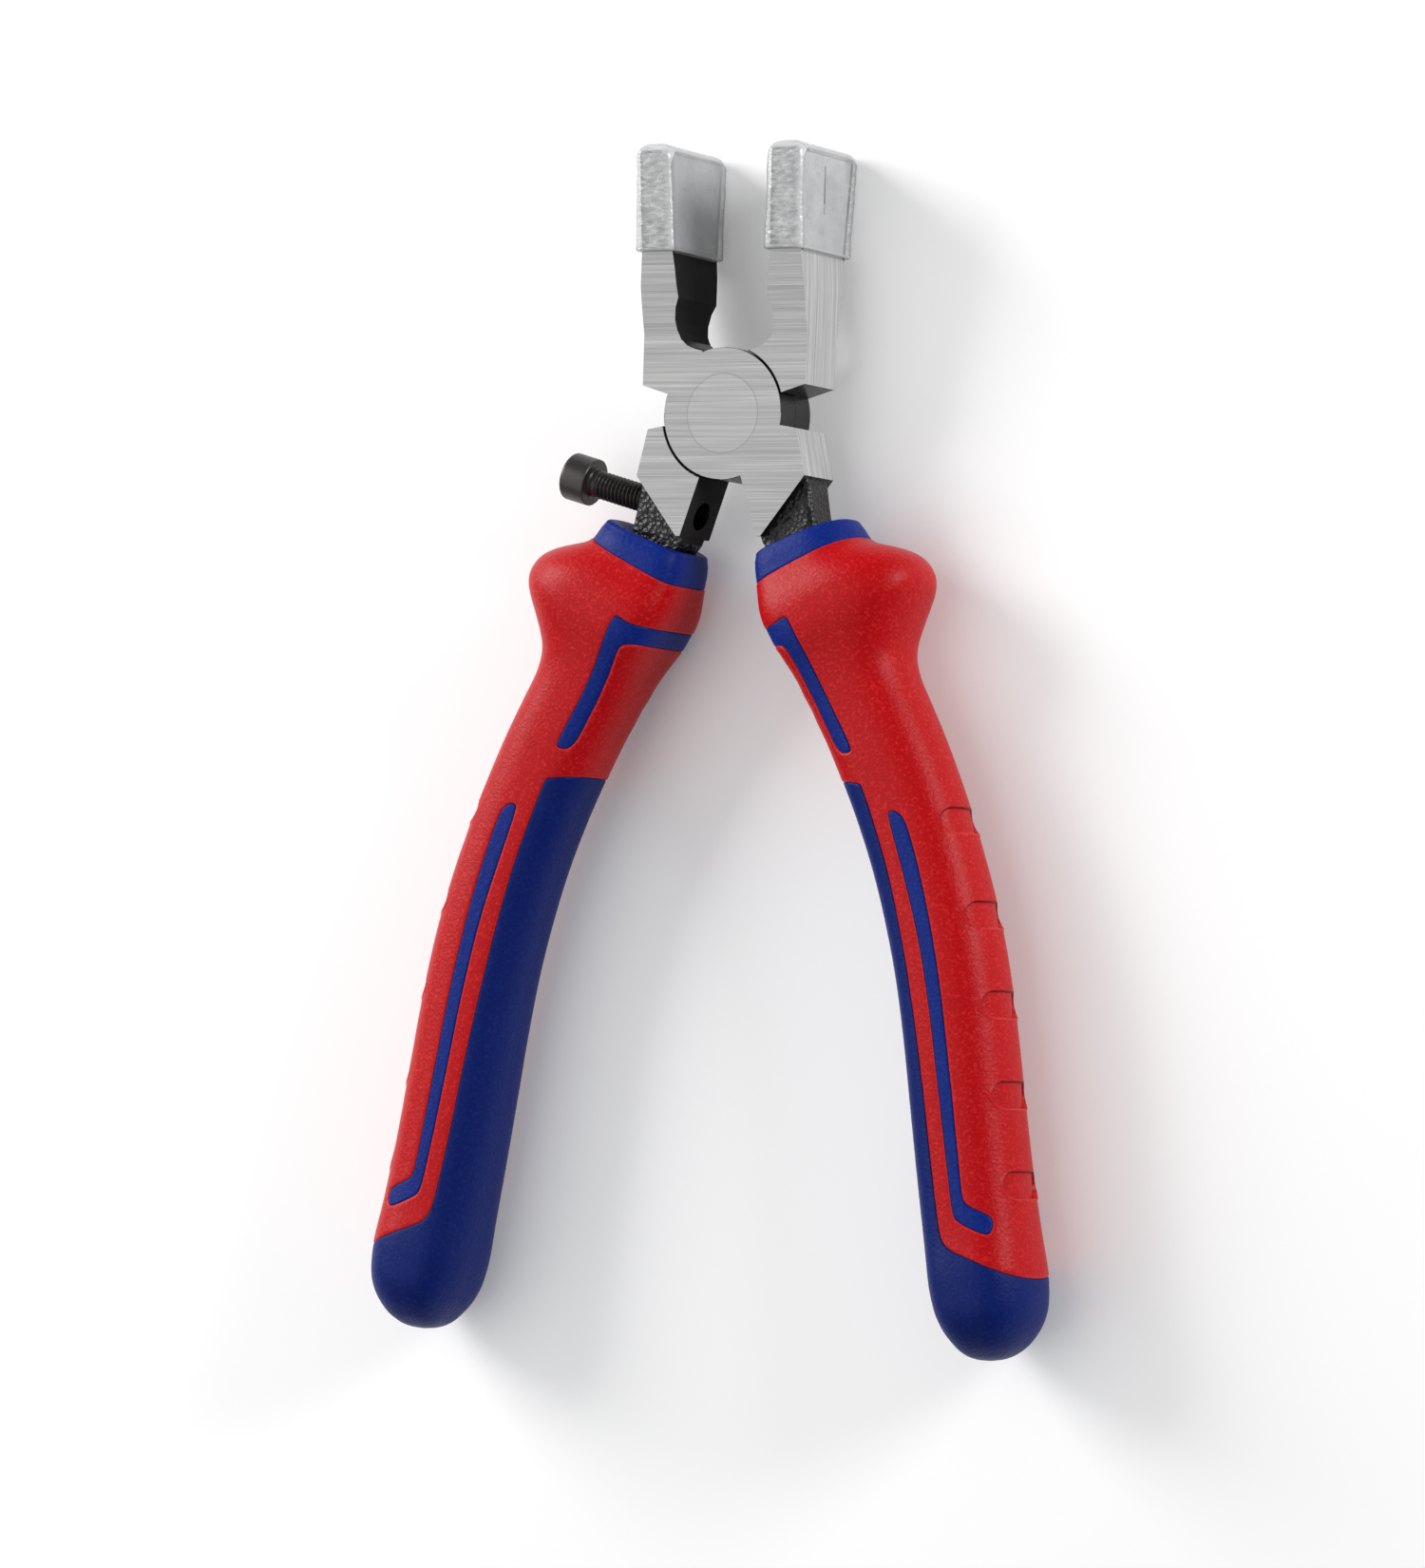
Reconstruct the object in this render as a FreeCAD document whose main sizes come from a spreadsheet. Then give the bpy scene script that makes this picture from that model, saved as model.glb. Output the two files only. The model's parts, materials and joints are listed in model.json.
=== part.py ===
import FreeCAD, Part
import math, os
import Sketcher

# Glass running pliers: two lap-jointed forged levers on a flush rivet, a stop
# screw threaded through one shank, soft caps on the flared jaws and two-material
# moulded grips over the tangs.
#
# Construction frame: pivot axis on Z, lap plane at z = 0, jaws towards +Y,
# handles towards -Y.  Every piece is placed by (0, pivot_y, rest_z) so that the
# tool lies on its back on z = 0 with the middle of its outline at the origin.

V = FreeCAD.Vector
doc = FreeCAD.newDocument("running_pliers")
dims = doc.addObject("Spreadsheet::Sheet", "Dims")

CELLS = [
    # placement
    ("pivot_y", 57.70), ("rest_z", 11.328),
    # lap joint
    ("plate_half", 5.50), ("disc_rad", 11.60), ("recess_rad", 11.90), ("lap_gap", 0.05),
    ("rivet_rad", 4.00), ("rivet_run", 4.05), ("head_rad", 7.10), ("head_run_rad", 7.20),
    ("head_deep", 1.20), ("head_run_deep", 1.26),
    # neck and tang thickness
    ("neck_half", 4.00), ("tang_half", 3.00), ("neck_round", 1.20),
    # jaw flare: half widths of the jaw, by height above the pivot
    ("flare_low_y", 14.0), ("flare_a_y", 17.0), ("flare_a_half", 6.3), ("flare_b_y", 20.0), ("flare_b_half", 7.0),
    ("flare_c_y", 23.0), ("flare_c_half", 7.6), ("flare_d_y", 28.0), ("flare_d_half", 8.2),
    ("jaw_top_y", 46.0), ("jaw_top_half", 10.6),
    ("jaw_low_in", 9.65), ("jaw_low_out", 15.80), ("jaw_top_in", 10.50), ("jaw_top_out", 15.60),
    # soft jaw caps
    ("cap_mouth_y", 28.3), ("cap_top_y", 47.2), ("cap_wall", 1.00), ("cap_corner", 2.4),
    ("cap_mouth_half", 9.25), ("cap_top_half", 11.60),
    ("cap_mouth_in", 8.65), ("cap_mouth_out", 16.80), ("cap_top_in", 9.40), ("cap_top_out", 16.75),
    # centre mark on the right jaw's outer face
    ("mark_wide", 0.50), ("mark_deep", 0.30), ("mark_low_y", 35.2), ("mark_high_y", 43.0),
    # stop screw: M5 socket head
    ("screw_rad", 2.50), ("tapped_rad", 2.55), ("screw_long", 20.0), ("screw_head_rad", 4.25),
    ("screw_head_long", 5.0), ("hex_flat", 4.0), ("hex_deep", 2.5), ("screw_tip", 0.6),
    ("screw_x", -28.10), ("screw_y", -11.65), ("screw_tilt", -15.5),
    # grips
    ("skin_thick", 1.60), ("inner_power", 3.0), ("outer_power", 2.4),
]

# Outline points (x, y) of one lever, as seen from the front.
JAW = [(16.10, 5.00), (16.20, 16.00), (16.20, 22.00), (15.80, 28.00), (15.60, 46.00), (10.50, 46.00), (9.65, 28.00),
       (9.30, 25.50), (9.00, 22.00), (8.80, 20.30), (9.50, 18.60), (9.78, 16.40), (9.50, 14.60), (8.80, 13.10),
       (7.50, 11.95), (5.70, 11.30), (4.50, 11.00), (3.00, 7.50), (5.50, 1.80), (11.80, 3.70)]
SHANK = [(5.50, -1.02), (11.56, -2.15), (14.76, -2.70), (16.65, -10.90), (8.40, -21.50), (7.60, -21.50), (4.10, -11.10), (2.00, -6.50)]
NECK = [(6.00, -12.00), (10.00, -9.00), (15.90, -10.20), (17.00, -13.50), (17.60, -17.00), (18.60, -21.50), (20.80, -27.00),
        (15.20, -29.50), (10.60, -25.40), (8.20, -22.60), (7.65, -21.20)]
TANG = [(20.80, -27.00), (26.20, -37.50), (31.60, -48.60), (36.40, -58.00), (43.00, -74.50), (48.80, -95.00), (52.60, -118.00),
        (52.00, -121.00), (49.20, -121.40), (47.60, -119.00), (43.70, -97.00), (38.00, -77.50), (31.20, -61.20), (25.60, -50.80),
        (20.00, -39.50), (15.20, -29.50)]

# Grip stations down the right handle: centre x, y, tilt of the section plane,
# half width in the plane of the tool, half thickness.
STATIONS = [
    (15.69, -21.98, 22.0, 9.10, 7.80), (16.17, -23.29, 22.0, 9.60, 8.40), (17.26, -25.89, 22.3, 10.20, 8.80),
    (18.05, -27.11, 22.6, 10.80, 9.20), (18.90, -28.20, 23.0, 11.50, 9.70), (20.10, -29.30, 23.5, 12.50, 10.30),
    (21.80, -30.60, 24.0, 13.70, 10.90), (23.70, -32.30, 24.5, 14.60, 11.30), (25.30, -34.50, 25.0, 14.80, 11.30),
    (26.30, -37.20, 25.5, 13.90, 10.80), (26.40, -40.50, 26.0, 12.10, 9.90), (26.50, -44.30, 26.5, 10.30, 9.20),
    (27.80, -48.40, 26.8, 9.45, 8.80), (30.54, -53.63, 26.5, 9.32, 8.60), (33.52, -59.54, 25.5, 9.36, 8.50),
    (37.12, -67.45, 23.0, 9.34, 8.40), (40.47, -75.90, 20.0, 9.34, 8.40), (43.77, -85.95, 17.0, 9.44, 8.50),
    (46.36, -95.91, 14.0, 9.50, 8.60), (48.45, -106.91, 11.5, 9.47, 8.80), (50.33, -118.92, 10.0, 9.45, 9.00),
    (52.25, -130.94, 9.5, 9.43, 9.30), (54.06, -140.93, 9.0, 9.45, 9.80), (55.60, -148.90, 8.0, 9.44, 10.70),
    (56.30, -153.12, 7.0, 8.95, 10.70), (56.70, -156.60, 6.0, 7.90, 9.60), (56.80, -159.40, 5.0, 6.20, 7.60),
    (56.60, -161.40, 4.0, 4.20, 5.10), (56.40, -162.50, 3.0, 2.00, 2.40)]

# Edges of the second-shot areas on the grip, as outlines in the plane of the tool.
COLLAR = [(-2.0, -35.40), (34.0, -17.45), (34.0, -6.0), (-2.0, -6.0)]
UPPER = [(2.0, -40.9), (10.5, -38.2), (14.2, -37.4), (16.3, -35.9), (17.3, -36.1), (19.6, -40.6), (22.6, -46.6), (25.8, -52.4),
         (29.3, -58.4), (28.9, -59.3), (26.3, -59.3), (23.0, -53.4), (19.8, -47.6), (16.9, -41.9), (15.6, -40.9), (12.5, -41.1), (2.0, -43.8)]
STRIPE = [(36.8, -69.2), (38.0, -68.9), (40.1, -70.2), (42.95, -78.3), (45.8, -88.2), (48.4, -100.0), (50.1, -110.0), (51.5, -118.3),
          (52.25, -123.0), (54.0, -133.6), (54.5, -135.3), (55.6, -136.2), (59.1, -137.5), (59.8, -138.4), (59.8, -140.3), (59.0, -141.1),
          (53.9, -139.1), (52.8, -138.1), (52.2, -136.0), (50.45, -126.5), (48.95, -118.2), (47.85, -112.0), (46.4, -103.4),
          (43.5, -90.2), (39.9, -79.0), (36.9, -70.4)]
PAD = [(12.0, -63.9), (30.7, -64.2), (31.6, -65.2), (34.7, -73.2), (36.85, -79.0), (39.6, -88.5), (42.35, -100.1), (45.0, -113.4),
       (45.85, -118.0), (47.3, -126.6), (49.5, -138.0), (50.2, -141.0), (51.1, -142.7), (52.6, -143.8), (56.8, -145.2), (59.8, -146.3),
       (62.9, -147.4), (65.0, -148.1), (72.0, -150.4), (72.0, -170.0), (12.0, -170.0)]

OUTLINES = {"jaw": JAW, "shank": SHANK, "neck": NECK, "tang": TANG, "collar": COLLAR, "upper": UPPER, "stripe": STRIPE, "pad": PAD}
for _name, _pts in OUTLINES.items():
    for _i, (_x, _y) in enumerate(_pts):
        CELLS.append(("%s_%02d_across" % (_name, _i), _x))
        CELLS.append(("%s_%02d_along" % (_name, _i), _y))
for _i, _s in enumerate(STATIONS):
    for _k, _v in zip(("centre_across", "centre_along", "tilt", "wide", "thick"), _s):
        CELLS.append(("station_%02d_%s" % (_i, _k), _v))

for _row, (_alias, _value) in enumerate(CELLS, start=1):
    dims.set("A%d" % _row, _alias)
    dims.set("B%d" % _row, "%.4f" % _value)
    dims.setAlias("B%d" % _row, _alias)
doc.recompute()


def cell(alias):
    return float(getattr(dims, alias))


def plane(body, role):
    return [f for f in body.Origin.OriginFeatures if f.Role == role][0]


def new_body(name):
    return doc.addObject("PartDesign::Body", name)


def new_sketch(body, name, role="XY_Plane", lift=None, turn=0.0):
    sk = body.newObject("Sketcher::SketchObject", name)
    sk.AttachmentSupport = [(plane(body, role), "")]
    sk.MapMode = "FlatFace"
    if lift is not None:
        sk.setExpression(".AttachmentOffset.Base.z", lift)
    return sk


def draw_loop(sk, points):
    """Closed polygon whose corners are (value_x, expr_x, value_y, expr_y)."""
    first = sk.GeometryCount
    count = len(points)
    for i in range(count):
        a, b = points[i], points[(i + 1) % count]
        sk.addGeometry(Part.LineSegment(V(a[0], a[2], 0), V(b[0], b[2], 0)))
    for i in range(count):
        sk.addConstraint(Sketcher.Constraint("Coincident", first + i, 2, first + (i + 1) % count, 1))
    for i, p in enumerate(points):
        for kind, value, expr, tag in (("DistanceX", p[0], p[1], "across"), ("DistanceY", p[2], p[3], "along")):
            n = sk.addConstraint(Sketcher.Constraint(kind, -1, 1, first + i, 1, float(value)))
            name = "%s_%d" % (tag, first + i)
            sk.renameConstraint(n, name)
            if expr is not None:
                sk.setExpression("Constraints." + name, expr)


def outline(sk, name, sx=1):
    pts = []
    for i, (x, y) in enumerate(OUTLINES[name]):
        ex = "Dims.%s_%02d_across * %d" % (name, i, sx)
        pts.append((sx * x, ex, y, "Dims.%s_%02d_along" % (name, i)))
    draw_loop(sk, pts)


def exprs(pairs):
    """Corner list from ((expr_x), (expr_y)) built of sheet aliases and numbers."""
    out = []
    for ex, ey in pairs:
        out.append((value_of(ex), ex, value_of(ey), ey))
    return out


def value_of(expr):
    names = {}
    for alias, _ in CELLS:
        if "Dims." + alias in expr:
            names[alias] = cell(alias)
    text = expr
    for alias in sorted(names, key=len, reverse=True):
        text = text.replace("Dims." + alias, repr(names[alias]))
    return arithmetic(text)


def arithmetic(text):
    """Value of a sum of products such as '-1 * 3.2 + 0.5'."""
    total = 0.0
    for term in text.replace(" ", "").replace("+-", "#-").replace("+", "#").split("#"):
        value = 1.0
        for factor in term.split("*"):
            value *= float(factor)
        total += value
    return total


def pad(body, sk, name, length, midplane=True, flip=False):
    p = body.newObject("PartDesign::Pad", name)
    p.Profile = sk
    p.Midplane = midplane
    p.Reversed = flip
    p.setExpression("Length", length)
    sk.Visibility = False
    return p


def pocket(body, sk, name, length, midplane=False, flip=False):
    p = body.newObject("PartDesign::Pocket", name)
    p.Profile = sk
    p.Midplane = midplane
    p.Reversed = flip
    p.setExpression("Length", length)
    return p


def circle(sk, radius_expr, value):
    sk.addGeometry(Part.Circle(V(0, 0, 0), V(0, 0, 1), value))
    sk.addConstraint(Sketcher.Constraint("Coincident", 0, 3, -1, 1))
    n = sk.addConstraint(Sketcher.Constraint("Radius", 0, float(value)))
    sk.renameConstraint(n, "radius")
    sk.setExpression("Constraints.radius", radius_expr)


def lever(tag, rivet_rad, head_rad, head_deep):
    """Forged lever with its half-lap disc on the +z side.

    Jaw on the left (x < 0), shank, neck and tang on the right (x > 0).
    """
    body = new_body(tag)
    # flared jaw blank
    sk = new_sketch(body, tag + "_jaw_outline")
    outline(sk, "jaw", -1)
    pad(body, sk, tag + "_jaw", "2 * Dims.jaw_top_half + 2")
    doc.recompute()
    # flare, cut from both sides of the blank (sketch on the YZ plane)
    for side, sign in (("front", 1), ("back", -1)):
        sk = new_sketch(body, "%s_flare_%s" % (tag, side), "YZ_Plane")
        s = "%d * " % sign
        pts = exprs([("-5.0", s + "Dims.plate_half"), ("Dims.flare_low_y", s + "Dims.plate_half"),
                     ("Dims.flare_a_y", s + "Dims.flare_a_half"), ("Dims.flare_b_y", s + "Dims.flare_b_half"),
                     ("Dims.flare_c_y", s + "Dims.flare_c_half"), ("Dims.flare_d_y", s + "Dims.flare_d_half"),
                     ("Dims.jaw_top_y", s + "Dims.jaw_top_half"), ("Dims.jaw_top_y + 5.0", s + "Dims.jaw_top_half"),
                     ("Dims.jaw_top_y + 5.0", "%d * 20.0" % sign), ("-5.0", "%d * 20.0" % sign)])
        draw_loop(sk, pts)
        pocket(body, sk, "%s_flare_cut_%s" % (tag, side), "60", midplane=True)
        doc.recompute()
    # half-lap disc
    sk = new_sketch(body, tag + "_disc_outline", lift="Dims.lap_gap")
    circle(sk, "Dims.disc_rad", cell("disc_rad"))
    pad(body, sk, tag + "_disc", "Dims.plate_half - Dims.lap_gap", midplane=False)
    # shank
    sk = new_sketch(body, tag + "_shank_outline")
    outline(sk, "shank")
    pad(body, sk, tag + "_shank", "2 * Dims.plate_half")
    doc.recompute()
    # recess that the other lever's disc turns in
    sk = new_sketch(body, tag + "_recess_outline", lift="Dims.lap_gap")
    circle(sk, "Dims.recess_rad", cell("recess_rad"))
    pocket(body, sk, tag + "_recess", "Dims.plate_half + 1")
    doc.recompute()
    # forged neck and the tang inside the grip
    sk = new_sketch(body, tag + "_neck_outline")
    outline(sk, "neck")
    neck = pad(body, sk, tag + "_neck", "2 * Dims.neck_half")
    doc.recompute()
    # the neck's long outer edges are rounded by the forging die
    picked = []
    half = cell("neck_half")
    for i, e in enumerate(neck.Shape.Edges, start=1):
        b = e.BoundBox
        flat = abs(b.ZMax - b.ZMin) < 1e-6 and abs(abs(b.ZMax) - half) < 1e-6
        if flat and b.YMax < -13.4 and b.YMin > -27.1 and b.XMin > 16.9 and e.Length > 1.0:
            picked.append("Edge%d" % i)
    if picked:
        f = body.newObject("PartDesign::Fillet", tag + "_neck_rounding")
        f.Base = (neck, picked)
        f.setExpression("Radius", "Dims.neck_round")
        doc.recompute()
    sk = new_sketch(body, tag + "_tang_outline")
    outline(sk, "tang")
    pad(body, sk, tag + "_tang", "2 * Dims.tang_half")
    doc.recompute()
    # rivet hole, and the flush counterbore on this lever's ground face
    sk = new_sketch(body, tag + "_rivet_outline", lift="Dims.plate_half + 1")
    circle(sk, "Dims." + rivet_rad, cell(rivet_rad))
    pocket(body, sk, tag + "_rivet_hole", "3 * Dims.plate_half")
    sk = new_sketch(body, tag + "_head_outline", lift="Dims.plate_half")
    circle(sk, "Dims." + head_rad, cell(head_rad))
    pocket(body, sk, tag + "_head_seat", "Dims." + head_deep)
    doc.recompute()
    return body


def seat(obj):
    """Bind an exported piece to the resting place of the tool."""
    obj.setExpression(".Placement.Base.y", "Dims.pivot_y")
    obj.setExpression(".Placement.Base.z", "Dims.rest_z")


def hide(obj):
    obj.Visibility = False
    return obj


nodes = []


def node(obj, label):
    obj.Label = label
    seat(obj)
    nodes.append(obj)
    return obj


# ---------------------------------------------------------------- levers
front_body = lever("front_forging", "rivet_rad", "head_rad", "head_deep")
rear_body = lever("rear_forging", "rivet_run", "head_run_rad", "head_run_deep")

# The rear lever is the same forging turned half a turn about Y.
half_turn = FreeCAD.Rotation(V(0, 1, 0), 180)
rear_body.Placement = FreeCAD.Placement(V(0, 0, 0), half_turn)
doc.recompute()

# Tapped hole for the stop screw through the left shank.
tap = doc.addObject("Part::Cylinder", "tapped_hole")
tap.setExpression("Radius", "Dims.tapped_rad")
tap.Height = 40
tilt = cell("screw_tilt")
axis = V(math.cos(math.radians(tilt)), math.sin(math.radians(tilt)), 0)
screw_turn = FreeCAD.Rotation(V(1, 0, 0), axis)
tap.Placement = FreeCAD.Placement(V(cell("screw_x"), cell("screw_y"), 0), FreeCAD.Rotation(V(0, 0, 1), axis))

mark = doc.addObject("Part::Box", "centre_mark")
mark.setExpression("Length", "Dims.mark_deep + 1")
mark.setExpression("Width", "Dims.mark_high_y - Dims.mark_low_y")
mark.setExpression("Height", "Dims.mark_wide")
mark.setExpression(".Placement.Base.x", "Dims.jaw_top_out - Dims.mark_deep + 0.05")
mark.setExpression(".Placement.Base.y", "Dims.mark_low_y")
mark.setExpression(".Placement.Base.z", "-0.5 * Dims.mark_wide")

rear_tools = doc.addObject("Part::MultiFuse", "rear_machining")
rear_tools.Shapes = [tap, mark]
rear_lever = doc.addObject("Part::Cut", "rear_lever_cut")
rear_lever.Base, rear_lever.Tool = rear_body, rear_tools
front_lever = doc.addObject("Part::Refine", "front_lever_clean")
front_lever.Source = front_body
doc.recompute()

# ---------------------------------------------------------------- rivet
rivet = new_body("rivet_turning")
sk = new_sketch(rivet, "rivet_profile", "XZ_Plane")
draw_loop(sk, exprs([("0.0", "-1 * Dims.plate_half"), ("Dims.head_rad", "-1 * Dims.plate_half"),
                     ("Dims.head_rad", "-1 * Dims.plate_half + Dims.head_deep"), ("Dims.rivet_rad", "-1 * Dims.plate_half + Dims.head_deep"),
                     ("Dims.rivet_rad", "Dims.plate_half + -1 * Dims.head_deep"), ("Dims.head_rad", "Dims.plate_half + -1 * Dims.head_deep"),
                     ("Dims.head_rad", "Dims.plate_half"), ("0.0", "Dims.plate_half")]))
rev = rivet.newObject("PartDesign::Revolution", "rivet_revolved")
rev.Profile = sk
rev.ReferenceAxis = (sk, ["V_Axis"])
rev.Angle = 360
doc.recompute()

# ---------------------------------------------------------------- stop screw
screw = new_body("screw_turning")
sk = new_sketch(screw, "screw_profile")
draw_loop(sk, exprs([("-1 * Dims.screw_head_long", "0.0"), ("Dims.screw_long", "0.0"),
                     ("Dims.screw_long", "Dims.screw_rad + -1 * Dims.screw_tip"), ("Dims.screw_long + -1 * Dims.screw_tip", "Dims.screw_rad"),
                     ("0.0", "Dims.screw_rad"), ("0.0", "Dims.screw_head_rad + -0.15"), ("-0.15", "Dims.screw_head_rad"),
                     ("-1 * Dims.screw_head_long + 0.4", "Dims.screw_head_rad"),
                     ("-1 * Dims.screw_head_long", "Dims.screw_head_rad + -0.4")]))
rev = screw.newObject("PartDesign::Revolution", "screw_revolved")
rev.Profile = sk
rev.ReferenceAxis = (sk, ["H_Axis"])
rev.Angle = 360
doc.recompute()
sk = new_sketch(screw, "hex_outline", "YZ_Plane", lift="-Dims.screw_head_long")
hexagon = []
for i in range(6):
    ang = math.radians(60 * i + 30)
    corner = cell("hex_flat") / 2 / math.cos(math.radians(30))
    fx, fy = corner * math.cos(ang) / cell("hex_flat"), corner * math.sin(ang) / cell("hex_flat")
    hexagon.append((fx * cell("hex_flat"), "Dims.hex_flat * %.9f" % fx, fy * cell("hex_flat"), "Dims.hex_flat * %.9f" % fy))
draw_loop(sk, hexagon)
before = screw.Shape.Volume
hexcut = pocket(screw, sk, "hex_socket", "Dims.hex_deep", flip=True)
doc.recompute()
if screw.Shape.Volume > before - 10:
    hexcut.Reversed = False
    doc.recompute()


# ---------------------------------------------------------------- jaw caps
def ring_wire(x_in, x_out, half, y, corner, sx):
    """Rounded rectangle in the plane y = const, corners of the given radius."""
    x0, x1 = x_in, x_out
    r = max(corner, 0.05)
    q = r * (1 - math.sqrt(0.5))
    corners = []
    for cx, cz, a0 in ((x1 - r, half - r, 0), (x0 + r, half - r, 90), (x0 + r, -half + r, 180), (x1 - r, -half + r, 270)):
        arc = []
        for d in (0, 45, 90):
            ang = math.radians(a0 + d)
            arc.append(V(sx * (cx + r * math.cos(ang)), y, cz + r * math.sin(ang)))
        corners.append(arc)
    edges = []
    for i in range(4):
        arc, nxt = corners[i], corners[(i + 1) % 4]
        edges.append(Part.Arc(arc[0], arc[1], arc[2]).toShape())
        edges.append(Part.LineSegment(arc[2], nxt[0]).toShape())
    return Part.Wire(edges)


def cap(tag, sx):
    """Dipped cap: flared rounded box with a domed rim at its closed end."""
    y0, y1, r = cell("cap_mouth_y"), cell("cap_top_y"), cell("cap_corner")

    def at(y):
        k = (y - y0) / (y1 - y0)
        mix = lambda lo, hi: cell(lo) + (cell(hi) - cell(lo)) * k
        return mix("cap_mouth_in", "cap_top_in"), mix("cap_mouth_out", "cap_top_out"), mix("cap_mouth_half", "cap_top_half")

    wires = []
    for y in (y0, y1 - r):
        xi, xo, h = at(y)
        wires.append(ring_wire(xi, xo, h, y, r, sx))
    for k in (22.5, 45.0, 67.5, 90.0):
        ang = math.radians(k)
        y = y1 - r + r * math.sin(ang)
        less = r * (1 - math.cos(ang))
        xi, xo, h = at(y)
        wires.append(ring_wire(xi + less, xo - less, h - less, y, r - less * 0.9, sx))
    skin_box = doc.addObject("Part::Feature", tag + "_skin")
    skin_box.Shape = Part.makeLoft(wires, True, True)
    # the seat is the jaw itself, so the cap grips steel all round
    low = [("jaw_low_in", "jaw_low_out", "flare_d_half", "flare_d_y"), ("jaw_top_in", "jaw_top_out", "jaw_top_half", "jaw_top_y")]
    frame_wires = []
    for x_in, x_out, half, y in low:
        xi, xo, h, yy = cell(x_in), cell(x_out), cell(half), cell(y)
        ring = [V(sx * xi, yy, -h), V(sx * xo, yy, -h), V(sx * xo, yy, h), V(sx * xi, yy, h)]
        frame_wires.append(Part.makePolygon(ring + [ring[0]]))
    seat_box = doc.addObject("Part::Feature", tag + "_seat")
    seat_box.Shape = Part.makeLoft(frame_wires, True, True)
    cut = doc.addObject("Part::Cut", tag)
    cut.Base, cut.Tool = skin_box, seat_box
    doc.recompute()
    return cut


left_cap = cap("left_cap_moulding", -1)
right_cap = cap("right_cap_moulding", 1)


# ---------------------------------------------------------------- grips
def station_wire(i, less):
    """Closed rounded section; the side towards the other handle is flatter."""
    cx, cy = cell("station_%02d_centre_across" % i), cell("station_%02d_centre_along" % i)
    tilt_i = math.radians(cell("station_%02d_tilt" % i))
    a, b = cell("station_%02d_wide" % i) - less, cell("station_%02d_thick" % i) - less
    def point(th):
        c, s = math.cos(th), math.sin(th)
        power = cell("outer_power") if c > 0 else cell("inner_power")
        u = math.copysign(abs(c) ** (2 / power), c) * a if abs(c) > 1e-9 else 0.0
        w = math.copysign(abs(s) ** (2 / power), s) * b if abs(s) > 1e-9 else 0.0
        return V(cx + u * math.cos(tilt_i), cy + u * math.sin(tilt_i), w)

    edges = []
    for start in (math.pi / 2, 3 * math.pi / 2):
        curve = Part.BSplineCurve()
        curve.interpolate([point(start + math.pi * k / 10) for k in range(11)])
        edges.append(curve.toShape())
    return Part.Wire(edges)


def grip_loft(name, less, first, last):
    f = doc.addObject("Part::Feature", name)
    f.Shape = Part.makeLoft([station_wire(i, less) for i in range(first, last)], True, True)
    return f


blank = grip_loft("grip_blank", 0.0, 0, len(STATIONS))
core = grip_loft("grip_core", cell("skin_thick"), 0, len(STATIONS) - 2)


def region(name, tag, side=0):
    """Prism over one outline of the second shot: through, front half or back half."""
    body = new_body(tag + "_prism")
    sk = new_sketch(body, tag + "_prism_outline")
    outline(sk, name)
    if side:
        pad(body, sk, tag + "_prism_pad", "20", midplane=False, flip=side < 0)
    else:
        pad(body, sk, tag + "_prism_pad", "40")
    return body


def boolean(kind, name, a, b):
    f = doc.addObject("Part::" + kind, name)
    if kind in ("Cut", ):
        f.Base, f.Tool = a, b
    else:
        f.Shapes = [a, b] if not isinstance(b, list) else [a] + b
    return f


doc.recompute()
collar_prism = region("collar", "collar")
upper_prism = region("upper", "upper")
pad_prism = region("pad", "pad")
front_prism = region("stripe", "front_stripe", 1)
back_prism = region("stripe", "back_stripe", -1)
doc.recompute()

skin = boolean("Cut", "grip_skin", blank, core)
collar_raw = boolean("MultiCommon", "collar_raw", blank, collar_prism)
upper = boolean("MultiCommon", "upper_inlay_moulding", skin, upper_prism)
stripe_front = boolean("MultiCommon", "front_stripe_moulding", skin, front_prism)
stripe_back = boolean("MultiCommon", "back_stripe_moulding", skin, back_prism)
pad_skin = boolean("MultiCommon", "pad_moulding", skin, pad_prism)
doc.recompute()
second_shot = boolean("MultiFuse", "second_shot", collar_raw, [upper, stripe_front, stripe_back, pad_skin])
inserts = boolean("MultiFuse", "inserts", front_body, [second_shot])
shell = boolean("Cut", "shell_moulding", blank, inserts)
collar = boolean("Cut", "collar_moulding", collar_raw, front_body)
doc.recompute()

# ---------------------------------------------------------------- nodes
node(front_lever, "front_lever")
node(rear_lever, "rear_lever")
node(rivet, "pivot_rivet")
node(left_cap, "left_jaw_cap")
node(right_cap, "right_jaw_cap")
screw.Label = "stop_screw"
screw.Placement = FreeCAD.Placement(V(cell("screw_x"), 0, 0), screw_turn)
screw.setExpression(".Placement.Base.x", "Dims.screw_x")
screw.setExpression(".Placement.Base.y", "Dims.pivot_y + Dims.screw_y")
screw.setExpression(".Placement.Base.z", "Dims.rest_z")
nodes.append(screw)

PIECES = [("grip_shell", shell), ("grip_collar", collar), ("grip_upper_inlay", upper), ("grip_front_stripe", stripe_front),
          ("grip_back_stripe", stripe_back), ("grip_pad_and_heel", pad_skin)]
for name, source in PIECES:
    right_piece = doc.addObject("Part::Refine", "right_" + name + "_clean")
    right_piece.Source = source
    left_piece = doc.addObject("Part::Mirroring", "left_" + name + "_mirror")
    left_piece.Source = source
    left_piece.Normal = V(1, 0, 0)
    left_piece.Base = V(0, 0, 0)
    node(left_piece, "left_" + name)
    node(right_piece, "right_" + name)
doc.recompute()

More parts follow.
